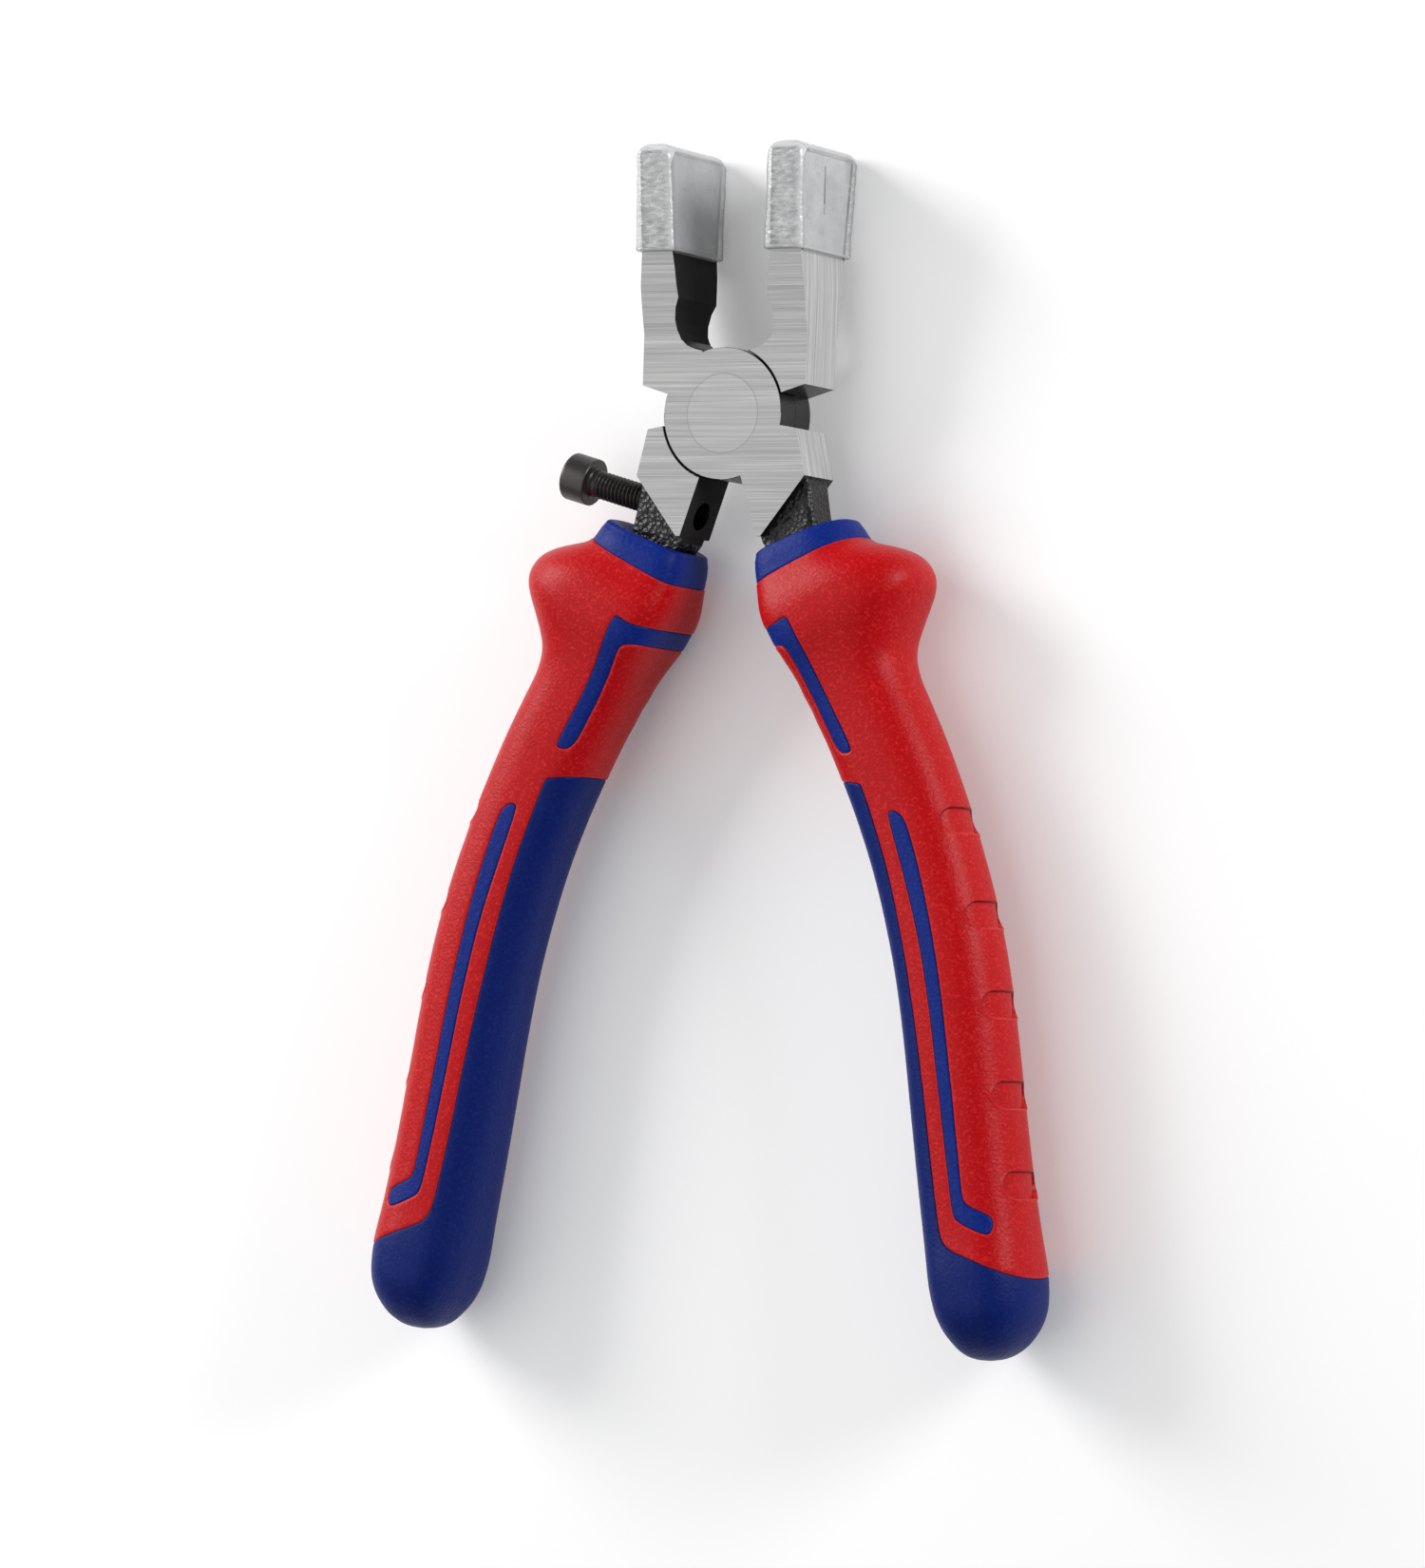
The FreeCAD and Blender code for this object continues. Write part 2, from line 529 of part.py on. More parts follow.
# ---------------------------------------------------------------- checks and files
problems = []
for obj in doc.Objects:
    state = set(getattr(obj, "State", []))
    if state & {"Invalid", "Error"}:
        problems.append("%s: %s" % (obj.Name, sorted(state)))
for obj in nodes:
    if obj.Shape.isNull() or not obj.Shape.isValid() or not obj.Shape.Solids:
        problems.append("%s: bad shape" % obj.Label)
if problems:
    raise RuntimeError("; ".join(problems))

os.makedirs("parts", exist_ok=True)
low, high = V(1e9, 1e9, 1e9), V(-1e9, -1e9, -1e9)
for obj in nodes:
    b = obj.Shape.BoundBox
    low = V(min(low.x, b.XMin), min(low.y, b.YMin), min(low.z, b.ZMin))
    high = V(max(high.x, b.XMax), max(high.y, b.YMax), max(high.z, b.ZMax))
    print("%-26s solids %d  volume %9.1f  box %s" % (obj.Label, len(obj.Shape.Solids), obj.Shape.Volume,
          " ".join("%.2f" % v for v in (b.XMin, b.YMin, b.ZMin, b.XMax, b.YMax, b.ZMax))))
    obj.Shape.exportStep("parts/%s.step" % obj.Label)
print("whole", low, high)
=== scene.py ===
import bpy
import json
import math
import numpy as np
from mathutils import Matrix, Vector


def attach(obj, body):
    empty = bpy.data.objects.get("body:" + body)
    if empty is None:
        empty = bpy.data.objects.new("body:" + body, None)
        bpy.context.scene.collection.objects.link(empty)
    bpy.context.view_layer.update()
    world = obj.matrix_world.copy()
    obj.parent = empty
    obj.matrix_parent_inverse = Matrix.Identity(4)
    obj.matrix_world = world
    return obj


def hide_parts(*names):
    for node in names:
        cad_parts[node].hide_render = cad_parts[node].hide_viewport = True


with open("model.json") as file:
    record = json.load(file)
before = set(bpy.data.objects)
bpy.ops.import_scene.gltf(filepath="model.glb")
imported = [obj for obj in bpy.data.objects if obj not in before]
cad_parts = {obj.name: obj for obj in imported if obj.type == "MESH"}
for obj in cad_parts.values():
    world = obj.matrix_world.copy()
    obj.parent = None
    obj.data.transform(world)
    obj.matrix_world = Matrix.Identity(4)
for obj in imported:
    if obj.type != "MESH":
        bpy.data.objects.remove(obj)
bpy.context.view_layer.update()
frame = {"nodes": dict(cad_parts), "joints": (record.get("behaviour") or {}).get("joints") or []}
joint = [j for j in frame["joints"] if j["name"] == "jaw_pivot"][0]
PIVOT = np.array(joint["pos_m"], float) * 1000.0        # mm, row frame


def W(p):
    """Tool coordinates in mm (pivot axis at x = y = 0, lap plane at z = 0) to the row frame in metres."""
    return (np.asarray(p, float) + PIVOT) / 1000.0


# ------------------------------------------------------------------ grip data (right handle, mm)
STATIONS = [
    (15.69, -21.98, 22.0, 9.10, 7.80), (16.17, -23.29, 22.0, 9.60, 8.40), (17.26, -25.89, 22.3, 10.20, 8.80),
    (18.05, -27.11, 22.6, 10.80, 9.20), (18.90, -28.20, 23.0, 11.50, 9.70), (20.10, -29.30, 23.5, 12.50, 10.30),
    (21.80, -30.60, 24.0, 13.70, 10.90), (23.70, -32.30, 24.5, 14.60, 11.30), (25.30, -34.50, 25.0, 14.80, 11.30),
    (26.30, -37.20, 25.5, 13.90, 10.80), (26.40, -40.50, 26.0, 12.10, 9.90), (26.50, -44.30, 26.5, 10.30, 9.20),
    (27.80, -48.40, 26.8, 9.45, 8.80), (30.54, -53.63, 26.5, 9.32, 8.60), (33.52, -59.54, 25.5, 9.36, 8.50),
    (37.12, -67.45, 23.0, 9.34, 8.40), (40.47, -75.90, 20.0, 9.34, 8.40), (43.77, -85.95, 17.0, 9.44, 8.50),
    (46.36, -95.91, 14.0, 9.50, 8.60), (48.45, -106.91, 11.5, 9.47, 8.80), (50.33, -118.92, 10.0, 9.45, 9.00),
    (52.25, -130.94, 9.5, 9.43, 9.30), (54.06, -140.93, 9.0, 9.45, 9.80), (55.60, -148.90, 8.0, 9.44, 10.70),
    (56.30, -153.12, 7.0, 8.95, 10.70), (56.70, -156.60, 6.0, 7.90, 9.60), (56.80, -159.40, 5.0, 6.20, 7.60),
    (56.60, -161.40, 4.0, 4.20, 5.10), (56.40, -162.40, 3.0, 2.00, 2.40), (56.35, -162.62, 3.0, 0.40, 0.50)]
COLLAR = [(-2.0, -35.40), (34.0, -17.45), (34.0, -2.0), (-2.0, -2.0)]
UPPER = [(2.0, -40.9), (10.5, -38.2), (14.2, -37.4), (16.3, -35.9), (17.3, -36.1), (19.6, -40.6), (22.6, -46.6), (25.8, -52.4),
         (29.3, -58.4), (28.9, -59.3), (26.3, -59.3), (23.0, -53.4), (19.8, -47.6), (16.9, -41.9), (15.6, -40.9), (12.5, -41.1), (2.0, -43.8)]
STRIPE = [(36.8, -69.2), (38.0, -68.9), (40.1, -70.2), (42.95, -78.3), (45.8, -88.2), (48.4, -100.0), (50.1, -110.0), (51.5, -118.3),
          (52.25, -123.0), (54.0, -133.6), (54.5, -135.3), (55.6, -136.2), (59.1, -137.5), (59.8, -138.4), (59.8, -140.3), (59.0, -141.1),
          (53.9, -139.1), (52.8, -138.1), (52.2, -136.0), (50.45, -126.5), (48.95, -118.2), (47.85, -112.0), (46.4, -103.4),
          (43.5, -90.2), (39.9, -79.0), (36.9, -70.4)]
PAD = [(12.0, -63.9), (30.7, -64.2), (31.6, -65.2), (34.7, -73.2), (36.85, -79.0), (39.6, -88.5), (42.35, -100.1), (45.0, -113.4),
       (45.85, -118.0), (47.3, -126.6), (49.5, -138.0), (50.2, -141.0), (51.1, -142.7), (52.6, -143.8), (56.8, -145.2), (59.8, -146.3),
       (62.9, -147.4), (65.0, -148.1), (72.0, -150.4), (72.0, -170.0), (12.0, -170.0)]
# finger recesses on the outer side: centre height at the outer flank, and slope of the band
RECESSES = [-70.3, -86.3, -101.6, -117.0, -132.3]
POWER_IN, POWER_OUT = 3.0, 2.4


def pchip(x, y, t):
    """Monotone cubic through (x, y), evaluated at t."""
    x, y = np.asarray(x, float), np.asarray(y, float)
    h = np.diff(x)
    d = np.diff(y) / h
    m = np.zeros_like(y)
    for i in range(1, len(x) - 1):
        if d[i - 1] * d[i] > 0:
            w1, w2 = 2 * h[i] + h[i - 1], h[i] + 2 * h[i - 1]
            m[i] = (w1 + w2) / (w1 / d[i - 1] + w2 / d[i])
    m[0], m[-1] = d[0], d[-1]
    i = np.clip(np.searchsorted(x, t) - 1, 0, len(x) - 2)
    s = (t - x[i]) / h[i]
    h00, h10 = 2 * s**3 - 3 * s**2 + 1, s**3 - 2 * s**2 + s
    h01, h11 = -2 * s**3 + 3 * s**2, s**3 - s**2
    return h00 * y[i] + h10 * h[i] * m[i] + h01 * y[i + 1] + h11 * h[i] * m[i + 1]


# rise of the guard's shoulder per station, 1 = 1.5 mm at the outer end
SHOULDER = {2: 0.2, 3: 0.55, 4: 0.9, 5: 1.1, 6: 1.15, 7: 1.1, 8: 0.95, 9: 0.7, 10: 0.4, 11: 0.15}


def smooth_rows(n):
    S = np.array(STATIONS)
    for i, k in SHOULDER.items():
        S[i, 1] += 0.75 * k
        S[i, 2] += math.degrees(0.75 * k / S[i, 3])
    s = np.r_[0, np.cumsum(np.hypot(np.diff(S[:, 0]), np.diff(S[:, 1])))]
    # denser rows where the end closes
    base = np.linspace(0, s[-1] - 3.0, n - 26)
    tail = s[-1] - 3.0 + 3.0 * np.sin(np.linspace(0, math.pi / 2, 27))[1:]
    t = np.r_[base, tail]
    out = [pchip(s, S[:, k], t) for k in range(5)]
    # soften the piecewise data a little along the handle
    out = np.array(out).T
    k = np.array([1, 4, 6, 4, 1], float) / 16
    for _ in range(3):
        pad = np.vstack([out[:1], out[:1], out, out[-1:], out[-1:]])
        sm = sum(k[i] * pad[i:i + len(out)] for i in range(5))
        out[3:-24] = sm[3:-24]
    return out, t


def section(cx, cy, tilt, a, b, nv):
    """Points of one grip section, evenly spaced, starting at the outer flank."""
    th = np.linspace(0, 2 * math.pi, 721)
    c, s = np.cos(th), np.sin(th)
    squarer = 1.5 * min(max((cy + 48.0) / 14.0, 0.0), 1.0)
    n = np.where(c > 0, POWER_OUT, POWER_IN + squarer)
    u = np.sign(c) * a * np.abs(c) ** (2 / n)
    w = np.sign(s) * b * np.abs(s) ** (2 / n)
    L = np.r_[0, np.cumsum(np.hypot(np.diff(u), np.diff(w)))]
    q = np.linspace(0, L[-1], nv + 1)[:-1]
    u, w = np.interp(q, L, u), np.interp(q, L, w)
    t = math.radians(tilt)
    return np.stack([cx + u * math.cos(t), cy + u * math.sin(t), w], 1), u


def chaikin(pts, times=3):
    p = np.asarray(pts, float)
    for _ in range(times):
        q = np.roll(p, -1, 0)
        p = np.stack([0.75 * p + 0.25 * q, 0.25 * p + 0.75 * q], 1).reshape(-1, 2)
    return p


def signed_distance(P, poly):
    """Distance of 2-D points to a closed outline, negative inside."""
    poly = np.asarray(poly, float)
    best = np.full(len(P), 1e9)
    inside = np.zeros(len(P), bool)
    for a, b in zip(poly, np.roll(poly, -1, 0)):
        d = b - a
        t = np.clip(((P - a) @ d) / max(d @ d, 1e-12), 0, 1)
        best = np.minimum(best, np.hypot(*(P - a - t[:, None] * d).T))
        up = (a[1] > P[:, 1]) != (b[1] > P[:, 1])
        xs = a[0] + (P[:, 1] - a[1]) / (b[1] - a[1] if abs(b[1] - a[1]) > 1e-12 else 1e-12) * d[0]
        inside ^= up & (P[:, 0] < xs)
    return np.where(inside, -best, best)


def contour_cut(P, F, k, level, eps=0.03):
    """Split triangles so that the line P[:, k] == level runs along edges. P holds positions and fields."""
    P = P.copy()
    f = P[:, k] - level
    near = np.abs(f) < eps
    P[near, k] = level
    f = P[:, k] - level
    s = np.sign(f).astype(int)
    S = s[F]
    cross = (S.min(1) < 0) & (S.max(1) > 0)
    keep, T, S = F[~cross], F[cross], S[cross]
    if len(T) == 0:
        return P, F
    zero = (S == 0).any(1)
    # no zero corner: rotate so that the lonely corner comes first
    A, SA = T[~zero], S[~zero]
    lone = np.where(SA[:, 0] == SA[:, 1], 2, np.where(SA[:, 0] == SA[:, 2], 1, 0))
    r = np.arange(len(A))
    a, b, c = A[r, lone], A[r, (lone + 1) % 3], A[r, (lone + 2) % 3]
    B, SB = T[zero], S[zero]
    z = np.argmax(SB == 0, 1)
    r2 = np.arange(len(B))
    za, zb, zc = B[r2, z], B[r2, (z + 1) % 3], B[r2, (z + 2) % 3]
    edges = np.concatenate([np.stack([a, b], 1), np.stack([a, c], 1), np.stack([zb, zc], 1)])
    key = np.sort(edges, 1)
    uniq, inv = np.unique(key, axis=0, return_inverse=True)
    inv = np.asarray(inv).reshape(-1)
    i, j = uniq[:, 0], uniq[:, 1]
    t = (f[i] / (f[i] - f[j]))[:, None]
    new = P[i] * (1 - t) + P[j] * t
    new[:, k] = level
    ids = len(P) + inv
    n = len(A)
    p, q, m = ids[:n], ids[n:2 * n], ids[2 * n:]
    tris = [keep, np.stack([a, p, q], 1), np.stack([p, b, c], 1), np.stack([p, c, q], 1), np.stack([za, zb, m], 1), np.stack([za, m, zc], 1)]
    return np.vstack([P, new]), np.vstack(tris)


def mesh_object(name, verts_mm, faces, sharp=35.0, mirror=False):
    """Mesh object from tool coordinates in mm; mirror builds the other handle's piece."""
    v = np.array(verts_mm, float)
    faces = [tuple(int(i) for i in f) for f in faces]
    if mirror:
        v[:, 0] *= -1
        faces = [tuple(reversed(f)) for f in faces]
    me = bpy.data.meshes.new(name)
    me.from_pydata([tuple(p) for p in W(v)], [], faces)
    me.validate()
    me.polygons.foreach_set("use_smooth", [True] * len(me.polygons))
    me.set_sharp_from_angle(angle=math.radians(sharp))
    me.update()
    ob = bpy.data.objects.new(name, me)
    bpy.context.scene.collection.objects.link(ob)
    return ob


def thicken(P, N, F, depth, extra=None):
    """Closed shell from an open patch: outer skin, inner skin and the walls between them."""
    used = np.unique(F)
    remap = -np.ones(len(P), int)
    remap[used] = np.arange(len(used))
    F = remap[F]
    O, I = P[used], P[used] - N[used] * depth
    n = len(O)
    E = np.concatenate([F[:, [0, 1]], F[:, [1, 2]], F[:, [2, 0]]])
    key = np.sort(E, 1)
    uniq, inv, cnt = np.unique(key, axis=0, return_inverse=True, return_counts=True)
    rim = E[cnt[np.asarray(inv).reshape(-1)] == 1]
    faces = [tuple(f) for f in F] + [(f[2] + n, f[1] + n, f[0] + n) for f in F]
    faces += [(b, a, a + n, b + n) for a, b in rim]
    if extra is not None:
        return np.vstack([O, I]), faces, np.r_[extra[used], np.zeros(n)]
    return np.vstack([O, I]), faces


def build_grip_surface():
    nu, nv = 330, 120
    rows, s = smooth_rows(nu)
    pts, us = [], []
    for r in rows:
        p, u = section(*r, nv)
        pts.append(p)
        us.append(u)
    # rolled rim and dished end round the neck, above the first section
    cx, cy, tilt, a, b = rows[0]
    t = math.radians(tilt)
    up = np.array([-math.sin(t), math.cos(t), 0.0])
    top = []
    rim = 1.1
    for k in range(1, 7):
        ang = math.pi / 2 * k / 6
        less, lift = rim * (1 - math.cos(ang)), rim * math.sin(ang) * 0.75
        p, u = section(cx, cy, tilt, a - less, b - less, nv)
        top.append((p + up * lift, u))
    for less, drop, shift in ((1.9, 0.12, -0.1), (2.7, 0.5, -0.3), (3.4, 1.0, -0.6), (4.4, 1.35, -1.0), (6.0, 1.5, -1.6), (7.4, 1.5, -1.9)):
        e = np.array([math.cos(t), math.sin(t), 0.0])
        p, u = section(cx, cy, tilt, a - less, max(b - less, 0.35), nv)
        top.append((p + up * (rim * 0.75 - drop) + e * shift, u))
    pts = [p for p, _ in reversed(top)] + pts
    us = [u for _, u in reversed(top)] + us
    P = np.array(pts)
    n = len(P)
    U = np.array(us)
    V3 = P.reshape(-1, 3)
    i = np.arange(n - 1)[:, None]
    j = np.arange(nv)[None, :]
    A, B, C, D = i * nv + j, i * nv + (j + 1) % nv, (i + 1) * nv + (j + 1) % nv, (i + 1) * nv + j
    F = np.concatenate([np.stack([A, B, C], -1).reshape(-1, 3), np.stack([A, C, D], -1).reshape(-1, 3)])
    # close both ends with a fan
    first, last = V3[:nv].mean(0), V3[-nv:].mean(0)
    V3 = np.vstack([V3, first, last])
    Uf = np.r_[U.reshape(-1), 0, 0]
    k = np.arange(nv)
    F = np.vstack([F, np.stack([np.full(nv, n * nv), (k + 1) % nv, k], 1), np.stack([np.full(nv, n * nv + 1), (n - 1) * nv + k, (n - 1) * nv + (k + 1) % nv], 1)])
    # outward orientation and vertex normals
    c = V3[F]
    fn = np.cross(c[:, 1] - c[:, 0], c[:, 2] - c[:, 0])
    vol = np.einsum("ij,ij->i", c[:, 0], fn).sum()
    if vol < 0:
        F, fn = F[:, ::-1], -fn
    N = np.zeros_like(V3)
    for q in range(3):
        np.add.at(N, F[:, q], fn)
    N /= np.linalg.norm(N, axis=1)[:, None] + 1e-12
    return V3, N, F, Uf


def recess_field(P):
    """Signed distance to the nearest finger recess (a band across the outer flank with round ends) and how far down it a point lies, 0 at the top edge and 1 at the bottom."""
    S = np.array(STATIONS)
    best = np.full(len(P), 1e9)
    along = np.zeros(len(P))
    cx = np.interp(-P[:, 1], -S[:, 1], S[:, 0])
    outer = P[:, 0] - cx
    for y0 in RECESSES:
        tilt = math.radians(np.interp(-y0, -S[:, 1], S[:, 2])) * 0.45
        x0 = float(np.interp(-y0, -S[:, 1], S[:, 0])) + 9.0
        dy = (P[:, 1] - y0) * math.cos(tilt) - (P[:, 0] - x0) * math.sin(tilt)
        half_len, r = 3.9, 2.35
        dz = np.maximum(np.abs(P[:, 2]) - half_len, 0)
        d = np.hypot(dy, dz) - r
        d = np.where(outer > 2.0, d, 9.0)
        near = d < best
        best = np.where(near, d, best)
        along = np.where(near, np.clip(0.5 - dy / (2 * r), 0, 1), along)
    return best, along


def lip(d, width, drop):
    t = np.clip(d / width, 0, 1)
    return drop * (1 - np.sqrt(1 - (1 - t) ** 2))


def build_grips():
    V3, N, F, U = build_grip_surface()
    XY = V3[:, :2]
    outlines = {"collar": chaikin(COLLAR, 0), "upper": chaikin(UPPER), "stripe": chaikin(STRIPE), "pad": chaikin(PAD)}
    D = {k: signed_distance(XY, p) for k, p in outlines.items()}
    names = ["collar", "upper", "stripe", "pad"]
    blue = np.min([D[k] for k in names], 0)
    rec, _ = recess_field(V3)
    # columns: 0-2 position, 3-5 normal, 6 blue field, 7 recess field, 8.. region fields
    P = np.column_stack([V3, N, blue, rec] + [D[k] for k in names])
    for level in (0.0, 0.14, 0.45, -0.12, -0.36):
        P, F = contour_cut(P, F, 6, level)
    for level in (0.0, -0.17, 0.22, 0.5, -0.45):
        P, F = contour_cut(P, F, 7, level)
    N = P[:, 3:6] / (np.linalg.norm(P[:, 3:6], axis=1)[:, None] + 1e-12)
    d, r = P[:, 6], P[:, 7]
    red_drop = lip(d, 0.45, 0.26)
    blue_drop = 0.10 + lip(-d, 0.36, 0.20)
    drop = np.where(d > 0, red_drop, blue_drop)
    _, along = recess_field(P[:, :3])
    wall = np.clip(-r / 0.17, 0, 1)
    floor_depth = 0.42 + 0.42 * along
    dent = floor_depth * wall
    ridge = 0.17 * np.exp(-(np.clip(r, 0, None) / 0.30) ** 2) * (r > -0.02) * np.clip(along * 1.6, 0.10, 1.0)
    fade = np.clip((d - 0.2) / 0.6, 0, 1)
    base = P[:, :3]
    red_pos = base - N * (red_drop + (dent - ridge) * fade)[:, None]
    blue_pos = base - N * blue_drop[:, None]
    dm = d[F].mean(1)
    region = np.argmin(np.stack([P[:, 8 + q][F].mean(1) for q in range(4)], 1), 1)
    zc = P[:, 2][F].mean(1)
    sets = {
        "grip_shell": (dm > 0, red_pos, 1.3),
        "grip_collar": ((dm <= 0) & (region == 0), blue_pos, 0.9),
        "grip_upper_inlay": ((dm <= 0) & (region == 1), blue_pos, 1.2),
        "grip_front_stripe": ((dm <= 0) & (region == 2) & (zc > 0), blue_pos, 1.2),
        "grip_back_stripe": ((dm <= 0) & (region == 2) & (zc < 0), blue_pos, 1.2),
        "grip_pad_and_heel": ((dm <= 0) & (region == 3), blue_pos, 1.2)}
    made = {}
    # +1 for a painted highlight on the lip of an edge and along the red side of each red/blue boundary, -1 for painted
    # shade in the corner under the top edge of a recess
    painted_light_and_shade = np.maximum(np.exp(-((r - 0.10) / 0.17) ** 2) * along ** 0.7, 0.55 * np.exp(-(np.clip(d, 0, None) / 0.22) ** 2))
    corner = np.clip(1 - np.abs(r + 0.10) / 0.30, 0, 1) * np.clip(1.25 - 1.6 * along, 0, 1) * fade
    painted_light_and_shade = np.where(corner > 0.05, -corner, painted_light_and_shade)
    for name, (pick, pos, depth_mm) in sets.items():
        vv, ff, painted_light_value = thicken(pos, N, F[pick], depth_mm, painted_light_and_shade)
        for side, mirror in (("right", False), ("left", True)):
            ob = mesh_object("%s_%s_moulding" % (side, name), vv, ff, 50.0, mirror)
            if name == "grip_shell":
                # the lip attribute carries the painted highlight and the painted shade to the red material
                layer = ob.data.attributes.new("lip", "FLOAT", "POINT")
                layer.data.foreach_set("value", [float(v) for v in painted_light_value])
            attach(ob, "front_half" if side == "right" else "rear_half")
            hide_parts("%s_%s" % (side, name))
            made[side, name] = ob
    return made


# ------------------------------------------------------------------ materials
class Nodes:
    """Small helper for building a node material."""

    def __init__(self, name):
        self.mat = bpy.data.materials.new(name)
        self.mat.use_nodes = True
        self.t = self.mat.node_tree
        self.t.nodes.clear()
        self.out = self.add("ShaderNodeOutputMaterial")
        self.b = self.add("ShaderNodeBsdfPrincipled")
        self.link(self.b, "BSDF", self.out, "Surface")

    def add(self, kind, **kw):
        n = self.t.nodes.new(kind)
        for k, v in kw.items():
            setattr(n, k, v)
        return n

    def link(self, a, ao, b, bi):
        self.t.links.new(a.outputs[ao], b.inputs[bi])

    def val(self, n, i, v):
        n.inputs[i].default_value = v
        return n

    def math(self, op, a, b=None, clamp=False):
        n = self.add("ShaderNodeMath", operation=op, use_clamp=clamp)
        for i, v in enumerate((a, b)):
            if v is None:
                continue
            if isinstance(v, (int, float)):
                n.inputs[i].default_value = v
            else:
                self.t.links.new(v, n.inputs[i])
        return n.outputs[0]

    def ramp(self, fac, stops, interp="LINEAR"):
        n = self.add("ShaderNodeValToRGB")
        n.color_ramp.interpolation = interp
        el = n.color_ramp.elements
        while len(el) > 1:
            el.remove(el[-1])
        el[0].position, el[0].color = stops[0]
        for p, c in stops[1:]:
            e = el.new(p)
            e.color = c
        self.t.links.new(fac, n.inputs[0])
        return n.outputs[0]

    def mix(self, fac, a, b):
        n = self.add("ShaderNodeMix", data_type="RGBA")
        for sock, v in ((n.inputs[0], fac), (n.inputs[6], a), (n.inputs[7], b)):
            if isinstance(v, bpy.types.NodeSocket):
                self.t.links.new(v, sock)
            else:
                sock.default_value = v
        return n.outputs[2]

    def mixf(self, fac, a, b):
        n = self.add("ShaderNodeMix", data_type="FLOAT")
        for sock, v in ((n.inputs[0], fac), (n.inputs[2], a), (n.inputs[3], b)):
            if isinstance(v, bpy.types.NodeSocket):
                self.t.links.new(v, sock)
            else:
                sock.default_value = v
        return n.outputs[0]

    def coords(self):
        if not hasattr(self, "tc"):
            self.tc = self.add("ShaderNodeTexCoord")
        return self.tc

    def noise(self, scale, detail=2.0, rough=0.5, stretch=(1, 1, 1), dist=0.0):
        m = self.add("ShaderNodeMapping")
        m.inputs["Scale"].default_value = stretch
        self.t.links.new(self.coords().outputs["Object"], m.inputs["Vector"])
        n = self.add("ShaderNodeTexNoise")
        n.inputs["Scale"].default_value = scale
        n.inputs["Detail"].default_value = detail
        n.inputs["Roughness"].default_value = rough
        n.inputs["Distortion"].default_value = dist
        self.t.links.new(m.outputs["Vector"], n.inputs["Vector"])
        return n.outputs["Fac"]

    def bump(self, height, strength, distance, prev=None):
        n = self.add("ShaderNodeBump")
        n.inputs["Strength"].default_value = strength
        n.inputs["Distance"].default_value = distance
        self.t.links.new(height, n.inputs["Height"])
        if prev is not None:
            self.t.links.new(prev, n.inputs["Normal"])
        return n.outputs["Normal"]

    def to(self, socket, value):
        if isinstance(value, bpy.types.NodeSocket):
            self.t.links.new(value, self.b.inputs[socket])
        else:
            self.b.inputs[socket].default_value = value


def rgb(r, g, b, a=1.0):
    return (r, g, b, a)


def red_plastic():
    m = Nodes("red_plastic")
    broad = m.noise(30, 2, 0.5)
    grain = m.noise(3800, 3, 0.6)
    speck = m.noise(1700, 2, 0.5)
    c = m.mix(broad, rgb(0.385, 0.0006, 0.0028), rgb(0.45, 0.0010, 0.0035))
    c = m.mix(m.ramp(speck, [(0.50, rgb(0, 0, 0)), (0.74, rgb(0.60, 0.60, 0.60))]), c, rgb(0.68, 0.024, 0.024))
    painted_light_attr = m.add("ShaderNodeAttribute", attribute_name="lip")
    # painted highlight: the red turns lighter where the lip attribute is above zero
    c = m.mix(m.math("MULTIPLY", painted_light_attr.outputs["Fac"], 0.52, clamp=True), c, rgb(0.76, 0.070, 0.066))
    # painted shade: the red turns dark where the lip attribute is below zero, in the recess corners
    c = m.mix(m.math("MULTIPLY", painted_light_attr.outputs["Fac"], -0.85, clamp=True), c, rgb(0.13, 0.0006, 0.0022))
    m.to("Base Color", c)
    m.to("Roughness", m.mixf(grain, 0.28, 0.46))
    m.to("Specular IOR Level", 0.14)
    n1 = m.bump(grain, 0.45, 0.00010)
    m.to("Normal", m.bump(speck, 0.55, 0.00016, n1))
    return m.mat


def blue_rubber(name="blue_soft_plastic", depth=1.0):
    m = Nodes(name)
    broad = m.noise(30, 2, 0.5)
    grain = m.noise(3400, 3, 0.65)
    speck = m.noise(1500, 2, 0.5)
    # depth below 1 gives a darker copy of this blue: painted shade
    c = m.mix(broad, rgb(0.0010 * depth, 0.0120 * depth, 0.150 * depth), rgb(0.0018 * depth, 0.0175 * depth, 0.195 * depth))
    c = m.mix(m.ramp(speck, [(0.50, rgb(0, 0, 0)), (0.78, rgb(0.5, 0.5, 0.5))]), c, rgb(0.010 * depth, 0.042 * depth, 0.27 * depth))
    m.to("Base Color", c)
    m.to("Roughness", m.mixf(grain, 0.34, 0.54))
    m.to("Specular IOR Level", 0.12)
    n1 = m.bump(grain, 0.50, 0.00011)
    m.to("Normal", m.bump(speck, 0.60, 0.00018, n1))
    return m.mat


def black_oxide():
    m = Nodes("black_oxide_steel")
    broad = m.noise(260, 4, 0.6)
    fine = m.noise(2200, 3, 0.6)
    c = m.mix(broad, rgb(0.013, 0.011, 0.010), rgb(0.050, 0.042, 0.037))
    m.to("Base Color", c)
    m.to("Metallic", 0.35)
    m.to("Roughness", m.mixf(fine, 0.26, 0.46))
    m.to("Specular IOR Level", 0.65)
    m.to("Normal", m.bump(fine, 0.20, 0.00008))
    return m.mat


def brushed(m):
    """Height of the fine straight grinding lines that run across the tool."""
    fine = m.noise(1.0, 3, 0.60, (38, 6400, 300), 0.0)
    wide = m.noise(1.0, 2, 0.50, (22, 1900, 200), 0.0)
    return m.math("ADD", m.math("MULTIPLY", fine, 0.72), m.math("MULTIPLY", wide, 0.28))


